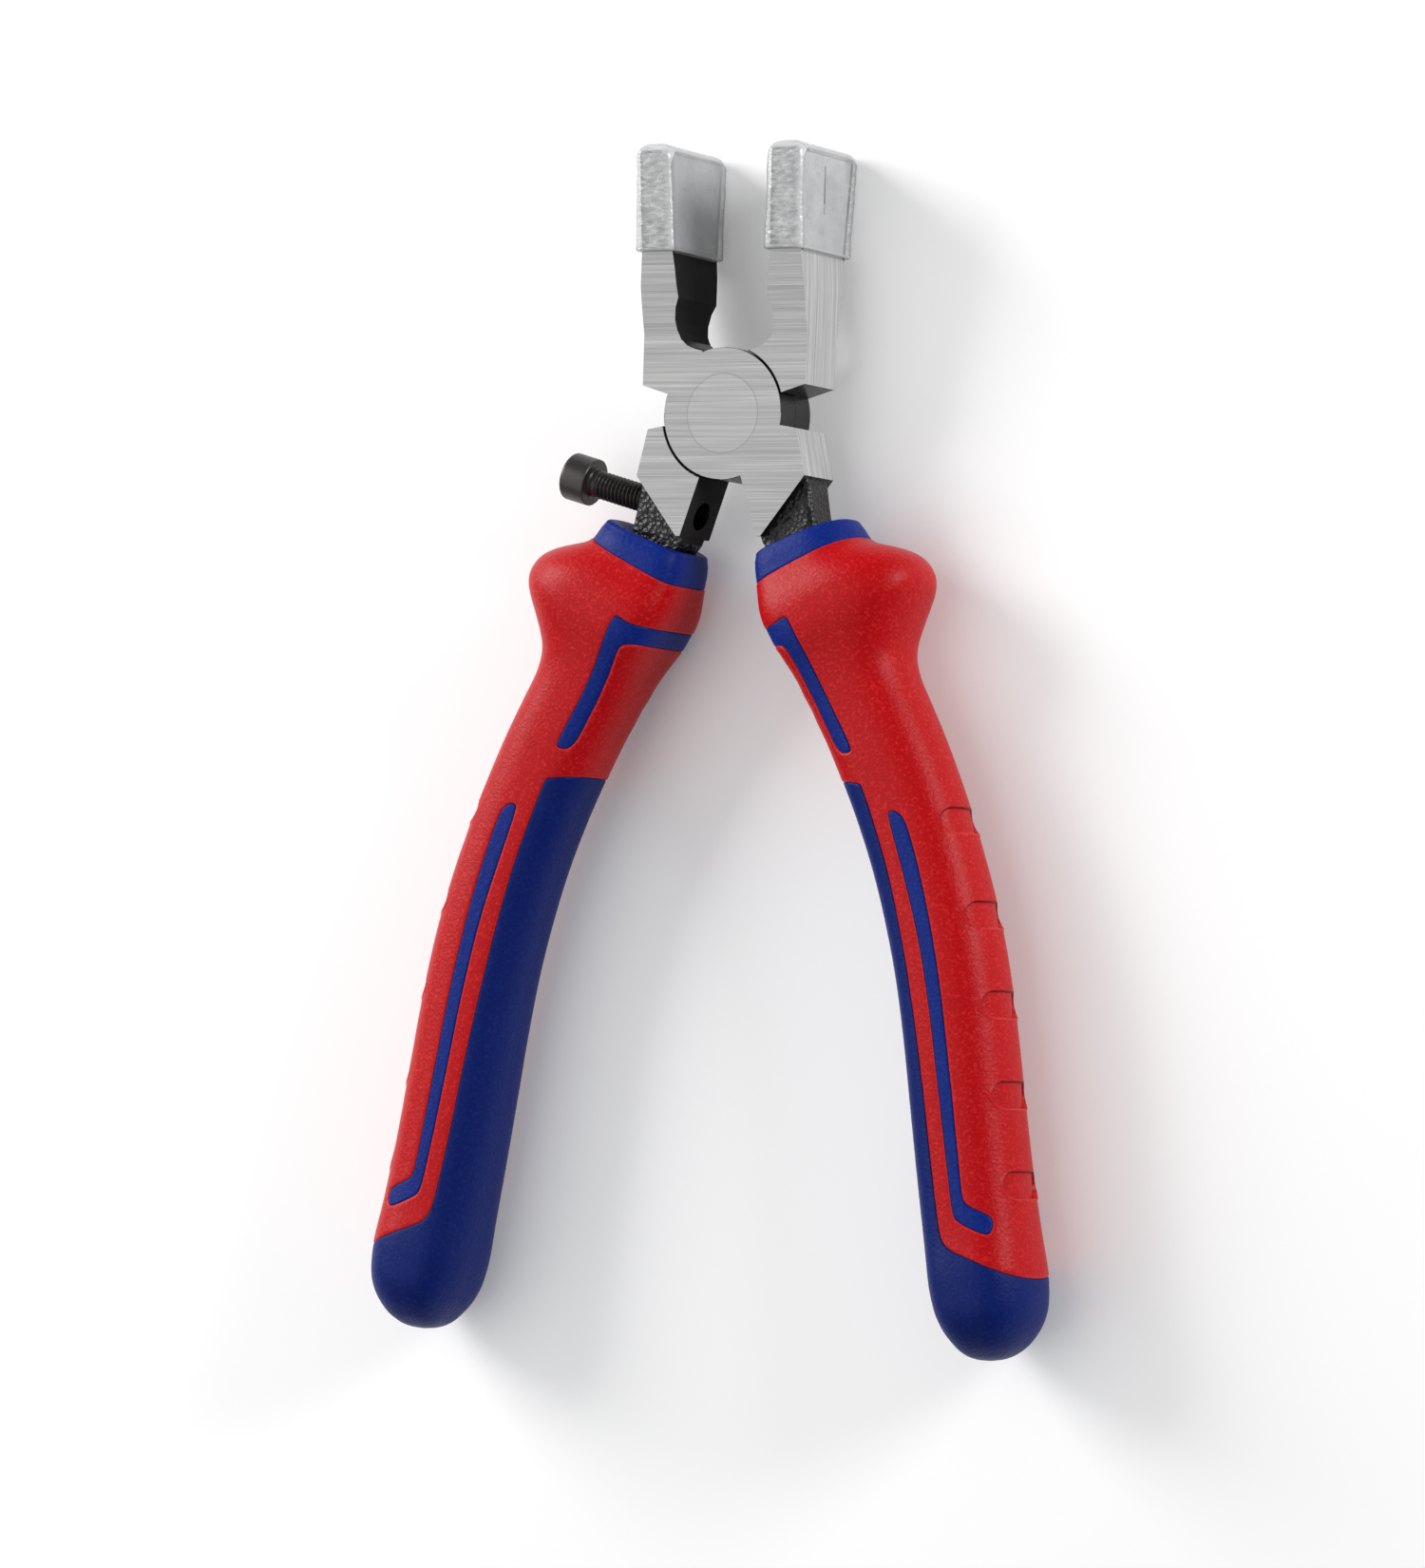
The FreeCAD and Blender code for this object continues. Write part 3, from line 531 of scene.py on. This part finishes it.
def rivet_steel():
    m = Nodes("rivet_steel")
    sep = m.add("ShaderNodeSeparateXYZ")
    m.t.links.new(m.coords().outputs["Object"], sep.inputs[0])
    yl = m.math("SUBTRACT", sep.outputs[1], float(PIVOT[1] / 1000))
    rad = m.math("SQRT", m.math("ADD", m.math("MULTIPLY", sep.outputs[0], sep.outputs[0]), m.math("MULTIPLY", yl, yl)))
    rim = m.math("GREATER_THAN", rad, 0.00690)
    lines = brushed(m)
    c = m.ramp(lines, [(0.36, rgb(0.29, 0.29, 0.289)), (0.50, rgb(0.345, 0.345, 0.343)), (0.64, rgb(0.44, 0.44, 0.437))])
    c = m.mix(m.math("MULTIPLY", rim, 0.45), c, rgb(0.16, 0.16, 0.16))
    m.to("Base Color", c)
    m.to("Metallic", 0.80)
    m.to("Roughness", m.mixf(lines, 0.24, 0.34))
    m.to("Normal", m.bump(lines, 0.07, 0.00005))
    return m.mat


def forged_steel(name):
    """Ground faces are bright and brushed; the rest keeps its black forged skin."""
    m = Nodes(name)
    tc = m.coords()
    sep = m.add("ShaderNodeSeparateXYZ")
    m.t.links.new(tc.outputs["Object"], sep.inputs[0])
    nrm = m.add("ShaderNodeSeparateXYZ")
    m.t.links.new(tc.outputs["Normal"], nrm.inputs[0])
    x, y, z = sep.outputs[0], sep.outputs[1], sep.outputs[2]
    nx, ny, nz = nrm.outputs[0], nrm.outputs[1], nrm.outputs[2]
    pz, py = float(PIVOT[2] / 1000), float(PIVOT[1] / 1000)
    ax = m.math("ABSOLUTE", x)
    yl = m.math("SUBTRACT", y, py)
    dz = m.math("ABSOLUTE", m.math("SUBTRACT", z, pz))
    flat = m.math("GREATER_THAN", m.math("ABSOLUTE", nz), 0.80)
    raised = m.math("GREATER_THAN", dz, 0.0050)
    face = m.math("MULTIPLY", flat, raised)
    outward = m.math("GREATER_THAN", m.math("MULTIPLY", nx, m.math("SIGN", x)), 0.90)
    wide = m.math("GREATER_THAN", ax, 0.0138)
    low = m.math("GREATER_THAN", yl, -0.01093)
    flank = m.math("MULTIPLY", m.math("MULTIPLY", outward, wide), low)
    tip = m.math("GREATER_THAN", yl, 0.0281)
    # the groove of the centre mark stays dark
    mark = m.math("MULTIPLY", m.math("LESS_THAN", m.math("ABSOLUTE", m.math("SUBTRACT", z, pz)), 0.00030),
                  m.math("MULTIPLY", m.math("GREATER_THAN", yl, 0.0371), m.math("LESS_THAN", yl, 0.0437)))
    mark = m.math("MULTIPLY", mark, m.math("GREATER_THAN", x, 0.0140))
    # dark edge round the lap joint, on the side that the disc turns in
    rad = m.math("SQRT", m.math("ADD", m.math("MULTIPLY", x, x), m.math("MULTIPLY", yl, yl)))
    ring = m.math("MULTIPLY", m.math("GREATER_THAN", rad, 0.01150), m.math("LESS_THAN", rad, 0.01203))
    quad = m.math("GREATER_THAN", m.math("MULTIPLY", m.math("MULTIPLY", x, yl), m.math("SIGN", m.math("SUBTRACT", z, pz))), 0.0)
    ring = m.math("MULTIPLY", m.math("MULTIPLY", ring, quad), face)
    bright = m.math("MAXIMUM", m.math("MAXIMUM", face, flank), tip)
    bright = m.math("MULTIPLY", bright, m.math("SUBTRACT", 1.0, m.math("MAXIMUM", mark, ring)))
    # brush lines: across the tool on the faces, along it on the flanks
    along = m.math("ADD", m.math("MULTIPLY", m.noise(1.0, 3, 0.60, (300, 34, 4300)), 0.7), m.math("MULTIPLY", m.noise(1.0, 2, 0.50, (200, 20, 1300)), 0.3))
    side = m.math("MULTIPLY", m.math("SUBTRACT", 1.0, face), m.math("MAXIMUM", flank, tip))
    lines = m.mixf(side, brushed(m), along)
    steel = m.ramp(lines, [(0.36, rgb(0.265, 0.265, 0.264)), (0.50, rgb(0.33, 0.33, 0.328)), (0.64, rgb(0.43, 0.43, 0.427))])
    steel = m.mix(m.math("MULTIPLY", side, 0.6), steel, m.ramp(lines, [(0.36, rgb(0.46, 0.46, 0.458)), (0.50, rgb(0.62, 0.62, 0.617)), (0.64, rgb(0.86, 0.86, 0.855))]))
    grip_face = m.math("MULTIPLY", tip, m.math("LESS_THAN", m.math("MULTIPLY", nx, m.math("SIGN", x)), -0.5))
    outer_tip = m.math("MULTIPLY", tip, outward)
    steel = m.mix(m.math("MULTIPLY", grip_face, 0.85), steel, rgb(0.23, 0.23, 0.228))
    steel = m.mix(m.math("MULTIPLY", outer_tip, 0.75), steel, rgb(0.80, 0.80, 0.80))
    hw = m.math("ADD", m.math("MULTIPLY", m.math("SUBTRACT", yl, 0.028), 0.1333), 0.0082)
    corner = m.math("MULTIPLY", m.math("GREATER_THAN", dz, m.math("SUBTRACT", hw, 0.00085)), m.math("SUBTRACT", 1.0, face))
    corner = m.math("MAXIMUM", corner, m.math("GREATER_THAN", yl, 0.0454))
    steel = m.mix(m.math("MULTIPLY", m.math("MULTIPLY", corner, tip), 0.85), steel, rgb(0.05, 0.05, 0.05))
    scale = m.noise(700, 5, 0.65)
    pebble = m.add("ShaderNodeTexVoronoi")
    pebble.inputs["Scale"].default_value = 1250
    m.t.links.new(tc.outputs["Object"], pebble.inputs["Vector"])
    skin = m.mix(scale, rgb(0.0022, 0.0019, 0.0019), rgb(0.0090, 0.0075, 0.0075))
    m.to("Base Color", m.mix(bright, skin, steel))
    m.to("Metallic", m.mixf(bright, 0.0, m.mixf(side, 0.80, 0.50)))
    m.to("Specular IOR Level", 0.35)
    inward = m.math("LESS_THAN", m.math("MULTIPLY", nx, m.math("SIGN", x)), -0.80)
    m.to("Roughness", m.mixf(bright, m.mixf(inward, m.mixf(scale, 0.18, 0.40), 0.85), m.mixf(lines, 0.24, 0.34)))
    neck = m.math("MULTIPLY", m.math("LESS_THAN", yl, -0.0090), m.math("SUBTRACT", 1.0, bright))
    # the inner face of the shank is machined flat, so only the other faces of the neck are pebbled
    neck = m.math("MULTIPLY", neck, m.math("SUBTRACT", 1.0, inward))
    n1 = m.bump(m.math("MULTIPLY", m.math("ADD", pebble.outputs["Distance"], scale), neck), 1.0, 0.00024)
    n2 = m.bump(m.math("MULTIPLY", lines, bright), 0.10, 0.00006, n1)
    m.to("Normal", n2)
    return m.mat


def clear_vinyl():
    m = Nodes("clear_vinyl")
    tc = m.coords()
    nrm = m.add("ShaderNodeSeparateXYZ")
    m.t.links.new(tc.outputs["Normal"], nrm.inputs[0])
    pos = m.add("ShaderNodeSeparateXYZ")
    m.t.links.new(tc.outputs["Object"], pos.inputs[0])
    big = m.math("MAXIMUM", m.math("MAXIMUM", m.math("ABSOLUTE", nrm.outputs[0]), m.math("ABSOLUTE", nrm.outputs[1])), m.math("ABSOLUTE", nrm.outputs[2]))
    rim = m.math("MULTIPLY", m.math("SUBTRACT", 0.985, big), 4.6, clamp=True)
    mouth = m.math("LESS_THAN", pos.outputs[1], float((PIVOT[1] + 28.75) / 1000))
    rim = m.math("MAXIMUM", rim, m.math("MULTIPLY", mouth, 0.9))
    front = m.math("GREATER_THAN", m.math("ABSOLUTE", nrm.outputs[2]), 0.8)
    cloud = m.noise(170, 2, 0.5)
    dimple = m.noise(1.0, 3, 0.55, (620, 1500, 620))
    lw = m.add("ShaderNodeLayerWeight")
    lw.inputs["Blend"].default_value = 0.5
    edge = m.ramp(lw.outputs["Facing"], [(0.50, rgb(0, 0, 0)), (0.86, rgb(1, 1, 1))])
    turned = m.ramp(lw.outputs["Facing"], [(0.36, rgb(0, 0, 0)), (0.66, rgb(1, 1, 1))])
    edge = m.math("MAXIMUM", edge, m.math("MULTIPLY", turned, rim))
    yl = m.math("SUBTRACT", pos.outputs[1], float(PIVOT[1] / 1000))
    dz = m.math("ABSOLUTE", m.math("SUBTRACT", pos.outputs[2], float(PIVOT[2] / 1000)))
    half = m.math("ADD", m.math("MULTIPLY", m.math("SUBTRACT", yl, 0.0283), 0.0794), 0.00995)
    # distance to a window with round corners: inside it the vinyl lies on the steel, outside it is thick
    qx = m.math("SUBTRACT", dz, m.math("SUBTRACT", half, 0.0041))
    qy = m.math("SUBTRACT", yl, 0.0429)
    px, py = m.math("MAXIMUM", qx, 0.0), m.math("MAXIMUM", qy, 0.0)
    d = m.math("ADD", m.math("SQRT", m.math("ADD", m.math("MULTIPLY", px, px), m.math("MULTIPLY", py, py))), m.math("MINIMUM", m.math("MAXIMUM", qx, qy), 0.0))
    d = m.math("SUBTRACT", d, 0.0030)
    thick = m.math("MULTIPLY", m.math("ADD", d, 0.00020), 2200.0, clamp=True)
    seam = m.math("SUBTRACT", 1.0, m.math("MULTIPLY", m.math("ABSOLUTE", d), 3200.0), clamp=True)
    sides = m.math("GREATER_THAN", m.math("ABSOLUTE", nrm.outputs[0]), 0.55)
    thick = m.math("MAXIMUM", m.math("MULTIPLY", thick, sides), m.math("MULTIPLY", m.math("SUBTRACT", yl, 0.0453), 1500.0, clamp=True))
    seam = m.math("MULTIPLY", seam, sides)
    alpha = m.math("ADD", m.math("MULTIPLY", rim, 0.55), m.math("MULTIPLY", m.math("SUBTRACT", cloud, 0.45), 0.30))
    grain = m.math("MULTIPLY", m.math("SUBTRACT", dimple, 0.42), m.math("ADD", m.math("MULTIPLY", front, 0.75), 0.30))
    alpha = m.math("ADD", alpha, grain)
    alpha = m.math("ADD", alpha, m.math("MULTIPLY", edge, 0.55))
    alpha = m.math("ADD", alpha, 0.17, clamp=True)
    alpha = m.math("MAXIMUM", alpha, m.math("MULTIPLY", thick, 0.80))
    alpha = m.math("MAXIMUM", alpha, m.math("MULTIPLY", seam, 0.62))
    tone = m.mix(m.math("MAXIMUM", rim, thick), rgb(0.78, 0.79, 0.80), rgb(0.66, 0.67, 0.68))
    tone = m.mix(m.math("MULTIPLY", seam, 0.75), tone, rgb(0.22, 0.22, 0.225))
    # the vinyl is cloudy where it lies on the gripping face of the jaw
    cloudy = m.math("LESS_THAN", m.math("MULTIPLY", nrm.outputs[0], m.math("SIGN", pos.outputs[0])), -0.70)
    alpha = m.math("MAXIMUM", alpha, m.math("MULTIPLY", cloudy, m.math("ADD", 0.40, m.math("MULTIPLY", cloud, 0.32))))
    tone = m.mix(m.math("MULTIPLY", m.math("MULTIPLY", cloudy, m.math("SUBTRACT", 1.0, thick)), 0.8), tone, rgb(0.40, 0.405, 0.41))
    m.to("Base Color", m.mix(m.math("MULTIPLY", edge, 0.85), tone, rgb(0.24, 0.245, 0.25)))
    m.to("Alpha", alpha)
    m.to("Roughness", m.mixf(dimple, 0.10, 0.22))
    m.to("Specular IOR Level", 0.70)
    m.to("Coat Weight", 0.4)
    m.to("Coat Roughness", 0.10)
    n1 = m.bump(cloud, 0.40, 0.0007)
    m.to("Normal", m.bump(m.math("MULTIPLY", dimple, m.math("ADD", m.math("MULTIPLY", front, 0.75), 0.25)), 0.9, 0.00050, n1))
    return m.mat


def vinyl_inside():
    """The face of the cap that lies against the steel: almost nothing of it is seen."""
    m = Nodes("clear_vinyl_inside")
    cloud = m.noise(300, 2, 0.5)
    m.to("Base Color", m.mix(cloud, rgb(0.78, 0.79, 0.80), rgb(0.88, 0.89, 0.90)))
    m.to("Alpha", m.math("ADD", m.math("MULTIPLY", cloud, 0.10), 0.02))
    m.to("Roughness", m.mixf(cloud, 0.30, 0.45))
    m.to("Specular IOR Level", 0.2)
    return m.mat


def floor_material():
    m = Nodes("studio_floor")
    n = m.noise(3.0, 2, 0.5)
    m.to("Base Color", m.mix(n, rgb(0.87, 0.87, 0.875), rgb(0.90, 0.90, 0.90)))
    m.to("Emission Color", (1.0, 1.0, 1.0, 1.0))
    m.to("Emission Strength", 0.13)
    m.to("Roughness", 0.6)
    m.to("Specular IOR Level", 0.25)
    return m.mat


# ------------------------------------------------------------------ stop screw
def build_screw():
    tilt = math.radians(-15.5)
    origin = np.array([-28.10, -11.65, 0.0])
    ax, e2, e3 = np.array([math.cos(tilt), math.sin(tilt), 0]), np.array([-math.sin(tilt), math.cos(tilt), 0]), np.array([0, 0, 1.0])
    nphi = 72
    phi = np.arange(nphi) * 2 * math.pi / nphi
    hexr = 2.0 / np.cos((phi + math.pi / 6) % (math.pi / 3) - math.pi / 6)     # 4 mm across flats
    one = np.ones(nphi)
    rings = []                                   # (axial position, radius per angle)

    def ring(s, r):
        rings.append((s * one, r * one if np.isscalar(r) else r))

    R, L = 4.25, 5.0
    ring(-L + 2.9, 0.6)
    ring(-L + 2.55, hexr * 0.96)
    ring(-L + 2.4, hexr * 0.995)
    ring(-L + 0.35, hexr)
    ring(-L + 0.12, hexr * 1.03)
    ring(-L + 0.0, hexr * 1.09)
    ring(-L + 0.0, 3.0)
    ring(-L + 0.0, 3.62)
    for k in range(1, 7):
        a = math.pi / 2 * k / 6
        ring(-L + 0.55 * (1 - math.cos(a)), 3.70 + 0.55 * math.sin(a))
    for s in (-4.0, -3.0, -2.0, -1.0, -0.5):
        ring(s, R)
    ring(-0.12, R - 0.03)
    ring(0.0, R - 0.15)
    ring(0.0, 3.3)
    ring(0.02, 2.75)
    ring(0.35, 2.5)
    # thread: a 60 degree helix of 0.8 mm pitch
    pitch, major, minor, end = 0.8, 2.49, 2.03, 20.0
    s0, steps = 0.9, 12
    count = int((end - 0.9 - s0) / pitch * steps)
    for i in range(count + 1):
        s = s0 + i * pitch / steps
        w = ((s / pitch) - phi / (2 * math.pi)) % 1.0
        tri = np.abs(2 * w - 1)                   # 1 at the crest, 0 at the root
        prof = np.clip((tri - 0.10) / 0.78, 0, 1)
        fade_in = min(1.0, (s - s0) / 1.2)
        fade_out = min(1.0, max(0.0, (end - 0.2 - s) / 0.8))
        r = minor + (major - minor) * prof
        r = r * fade_in + major * (1 - fade_in)
        r = np.minimum(r, minor - 0.15 + (major - minor + 0.15) * fade_out + 0.0)
        rings.append((s * one, r))
    ring(end - 0.35, 1.85)
    ring(end - 0.05, 1.55)
    ring(end, 1.2)
    ring(end, 0.5)
    V3 = []
    for s, r in rings:
        V3.append(origin + np.outer(s, ax) + np.outer(r * np.cos(phi), e2) + np.outer(r * np.sin(phi), e3))
    V3 = np.vstack(V3)
    n = len(rings)
    faces = []
    for i in range(n - 1):
        for j in range(nphi):
            k = (j + 1) % nphi
            faces.append((i * nphi + j, (i + 1) * nphi + j, (i + 1) * nphi + k, i * nphi + k))
    faces.append(tuple(j for j in range(nphi)))
    faces.append(tuple((n - 1) * nphi + j for j in reversed(range(nphi))))
    ob = mesh_object("stop_screw_m5", V3, [tuple(reversed(f)) for f in faces], 32.0)
    fix_normals(ob)
    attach(ob, "screw")
    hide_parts("stop_screw")
    return ob


def fix_normals(ob):
    import bmesh
    bm = bmesh.new()
    bm.from_mesh(ob.data)
    bmesh.ops.recalc_face_normals(bm, faces=bm.faces)
    bm.to_mesh(ob.data)
    bm.free()


# ------------------------------------------------------------------ jaw caps
def rounded_rect(x0, x1, h, r, per=9, side=14):
    """Closed outline in (x, z): rounded rectangle with points on the straights too."""
    pts = []
    r = min(r, (x1 - x0) / 2 - 0.01, h - 0.01)
    corners = [(x1 - r, h - r, 0), (x0 + r, h - r, 90), (x0 + r, -h + r, 180), (x1 - r, -h + r, 270)]
    for i, (cx, cz, a0) in enumerate(corners):
        arc = [(cx + r * math.cos(math.radians(a0 + 90 * k / (per - 1))), cz + r * math.sin(math.radians(a0 + 90 * k / (per - 1)))) for k in range(per)]
        pts += arc
        nx, nz, na = corners[(i + 1) % 4]
        nxt = (nx + r * math.cos(math.radians(na)), nz + r * math.sin(math.radians(na)))
        last = arc[-1]
        pts += [(last[0] + (nxt[0] - last[0]) * k / (side + 1), last[1] + (nxt[1] - last[1]) * k / (side + 1)) for k in range(1, side + 1)]
    return np.array(pts)


def wobble(P, seed):
    """Low, smooth unevenness of a dipped part, in mm."""
    x, y, z = P[:, 0], P[:, 1], P[:, 2]
    return (np.sin(0.55 * y + 1.3 * seed) * np.cos(0.42 * z + 0.7 * seed) + 0.7 * np.sin(0.9 * z + 0.33 * y + seed) + 0.5 * np.sin(1.4 * y - 0.6 * z + 2.1 * seed)) / 2.2


def build_cap(side):
    sx = -1 if side == "left" else 1
    y0, y1 = 28.3, 47.2
    seed = 1.0 if side == "left" else 2.6

    def outer(y):
        k = (y - y0) / (y1 - y0)
        return 8.60 + 0.75 * k, 16.85 - 0.05 * k, 9.95 + 1.50 * k

    def inner(y):
        k = (y - 28.0) / 18.0
        return 9.65 + 0.85 * k - 0.03, 15.80 - 0.20 * k + 0.03, 8.2 + 2.4 * k + 0.03

    rows, kinds = [], []
    top_r = 2.6
    # outer skin, from the mouth to the middle of the closed end
    ys = list(np.linspace(y0 + 0.25, y1 - top_r, 26))
    for y in ys:
        xa, xb, h = outer(y)
        rows.append((rounded_rect(xa, xb, h, 1.9), y, "out"))
    for k in range(1, 10):
        a = math.pi / 2 * k / 9
        y = y1 - top_r + top_r * math.sin(a)
        less = top_r * (1 - math.cos(a))
        xa, xb, h = outer(y)
        rows.append((rounded_rect(xa + less, xb - less, h - less, max(1.9 - less * 0.55, 0.3)), y, "out"))
    xa, xb, h = outer(y1)
    for less in (2.9, 3.3):
        rows.append((rounded_rect(xa + less, xb - less, h - less - (less - 2.6) * 8, 0.2), y1 + 0.02, "out"))
    P = []
    for o, y, _ in rows:
        P.append(np.column_stack([o[:, 0], np.full(len(o), y), o[:, 1]]))
    out_rows = np.array(P)
    flat = out_rows.reshape(-1, 3)
    # push the outer skin in and out very slightly
    cx = 12.7
    nrm = np.column_stack([(flat[:, 0] - cx) / 4.0, np.zeros(len(flat)), flat[:, 2] / 11.0])
    nrm /= np.linalg.norm(nrm, axis=1)[:, None] + 1e-9
    amp = 0.10 * np.clip((flat[:, 1] - y0) / 3.0, 0, 1) * np.clip((y1 - flat[:, 1]) / 2.0, 0, 1)
    flat = flat + nrm * ((wobble(flat, seed) - 0.9) * amp)[:, None]
    out_rows = flat.reshape(out_rows.shape)
    # inner skin, from the mouth up to the top of the jaw
    inn = []
    for y in np.linspace(y0 + 0.12, 46.04, 20):
        xa, xb, h = inner(y)
        o = rounded_rect(xa, xb, h, 0.25)
        inn.append(np.column_stack([o[:, 0], np.full(len(o), y), o[:, 1]]))
    xa, xb, h = inner(46.04)
    for less in (1.5, 2.45):
        o = rounded_rect(xa + less, xb - less, h - less * 3, 0.1)
        inn.append(np.column_stack([o[:, 0], np.full(len(o), 46.05), o[:, 1]]))
    inn = np.array(inn)
    # rolled mouth: two rows between the skins
    m_out, m_in = out_rows[0], inn[0]
    lip1 = m_out * 0.72 + m_in * 0.28
    lip1[:, 1] = y0 - 0.02
    lip2 = m_out * 0.30 + m_in * 0.70
    lip2[:, 1] = y0 - 0.02
    rows_all = np.concatenate([inn[::-1], lip2[None], lip1[None], out_rows])
    n, nv = rows_all.shape[:2]
    V3 = rows_all.reshape(-1, 3)
    faces = []
    for i in range(n - 1):
        for j in range(nv):
            k = (j + 1) % nv
            faces.append((i * nv + j, i * nv + k, (i + 1) * nv + k, (i + 1) * nv + j))
    faces.append(tuple(reversed(range(nv))))
    faces.append(tuple((n - 1) * nv + j for j in range(nv)))
    V3 = V3.copy()
    V3[:, 0] *= sx
    ob = mesh_object("%s_jaw_cap_vinyl" % side, V3, faces, 60.0)
    fix_normals(ob)
    inside = (len(inn) - 1) * nv
    ob["inside_faces"] = inside
    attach(ob, "front_half" if side == "left" else "rear_half")
    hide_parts("%s_jaw_cap" % side)
    return ob


def paint(ob, mat):
    ob.data.materials.clear()
    ob.data.materials.append(mat)


# ------------------------------------------------------------------ build
grips = build_grips()
# the pad and heel get the blue at 0.68 of its brightness: painted shade
RED, BLUE, PAD_BLUE_PAINTED_SHADE = red_plastic(), blue_rubber(), blue_rubber("blue_soft_pad_painted_shade", 0.68)
for (side, name), ob in grips.items():
    if name == "grip_shell":
        paint(ob, RED)
    else:
        paint(ob, PAD_BLUE_PAINTED_SHADE if name == "grip_pad_and_heel" else BLUE)
paint(build_screw(), black_oxide())
VINYL, INSIDE = clear_vinyl(), vinyl_inside()
for side in ("left", "right"):
    cap = build_cap(side)
    paint(cap, VINYL)
    cap.data.materials.append(INSIDE)
    for p in cap.data.polygons:
        if p.index < cap["inside_faces"] or len(p.vertices) > 4 and p.center.y < (PIVOT[1] + 46.5) / 1000:
            p.material_index = 1

STEEL = forged_steel("forged_steel")
for name, mat in (("front_lever", STEEL), ("rear_lever", STEEL), ("pivot_rivet", rivet_steel())):
    ob = frame["nodes"][name]
    ob.data.materials.clear()
    ob.data.materials.append(mat)
    bev = ob.modifiers.new("edge", "BEVEL")
    bev.width = 0.00014 if name != "pivot_rivet" else 0.0001
    bev.segments = 2
    bev.limit_method = "ANGLE"
    bev.angle_limit = math.radians(32)
    bev.use_clamp_overlap = True

# ------------------------------------------------------------------ stage, lights, camera
bpy.ops.mesh.primitive_plane_add(size=6.0, location=(0, 0, 0))
floor = bpy.context.object
floor.name = "studio_floor"
floor.data.materials.append(floor_material())

world = bpy.data.worlds.new("studio")
bpy.context.scene.world = world
world.use_nodes = True
bg = world.node_tree.nodes["Background"]
bg.inputs[0].default_value = (0.97, 0.98, 1.0, 1)
bg.inputs[1].default_value = 0.28
bpy.context.scene.view_settings.view_transform = "Standard"


def area(name, at, look, size, power, color=(1, 1, 1), size_y=None):
    l = bpy.data.lights.new(name, "AREA")
    l.energy, l.color = power, color
    l.size = size
    if size_y:
        l.shape, l.size_y = "RECTANGLE", size_y
    o = bpy.data.objects.new(name, l)
    bpy.context.scene.collection.objects.link(o)
    o.location = at
    o.rotation_euler = (Vector(look) - Vector(at)).to_track_quat("-Z", "Y").to_euler()
    return o


area("key", (-0.80, 0.44, 0.46), (0, 0, 0), 0.46, 8.5, (1.0, 0.99, 0.98))
area("panel", (-0.48, -0.08, 0.95), (0, 0, 0), 1.30, 5.2)
area("right", (0.88, 0.42, 0.27), (0, 0, 0.01), 0.34, 6.5)

theta, phi_, rho, dist, scale, pv = 28.4, -2.2, 2.2, 1320.0, 6.0, (760.3, 434.8)
IW, IH = 1500, 1650
th, ph, ro = math.radians(theta), math.radians(phi_), math.radians(rho)
back = np.array([math.sin(th) * math.cos(ph), math.sin(ph), math.cos(th) * math.cos(ph)])
r0 = np.array([math.cos(th), 0, -math.sin(th)])
u0 = np.cross(back, r0)
right = math.cos(ro) * r0 + math.sin(ro) * u0
upv = -math.sin(ro) * r0 + math.cos(ro) * u0
focal = scale * dist
P0 = np.array([0, 0, 5.5])
zc = dist - P0 @ back
xp = (pv[0] - IW / 2) / focal * zc - P0 @ right
yp = (IH / 2 - pv[1]) / focal * zc - P0 @ upv
centre = -xp * right - yp * upv + dist * back
cam_data = bpy.data.cameras.new("photo_camera")
cam = bpy.data.objects.new("photo_camera", cam_data)
bpy.context.scene.collection.objects.link(cam)
M = Matrix(((right[0], upv[0], back[0], 0), (right[1], upv[1], back[1], 0), (right[2], upv[2], back[2], 0), (0, 0, 0, 1)))
loc = W(centre)
M.translation = Vector(loc)
cam.matrix_world = M
cam_data.sensor_width = 36.0
cam_data.lens = focal * 36.0 / IH
cam_data.clip_start, cam_data.clip_end = 0.01, 20.0
bpy.context.scene.camera = cam

bpy.context.view_layer.update()
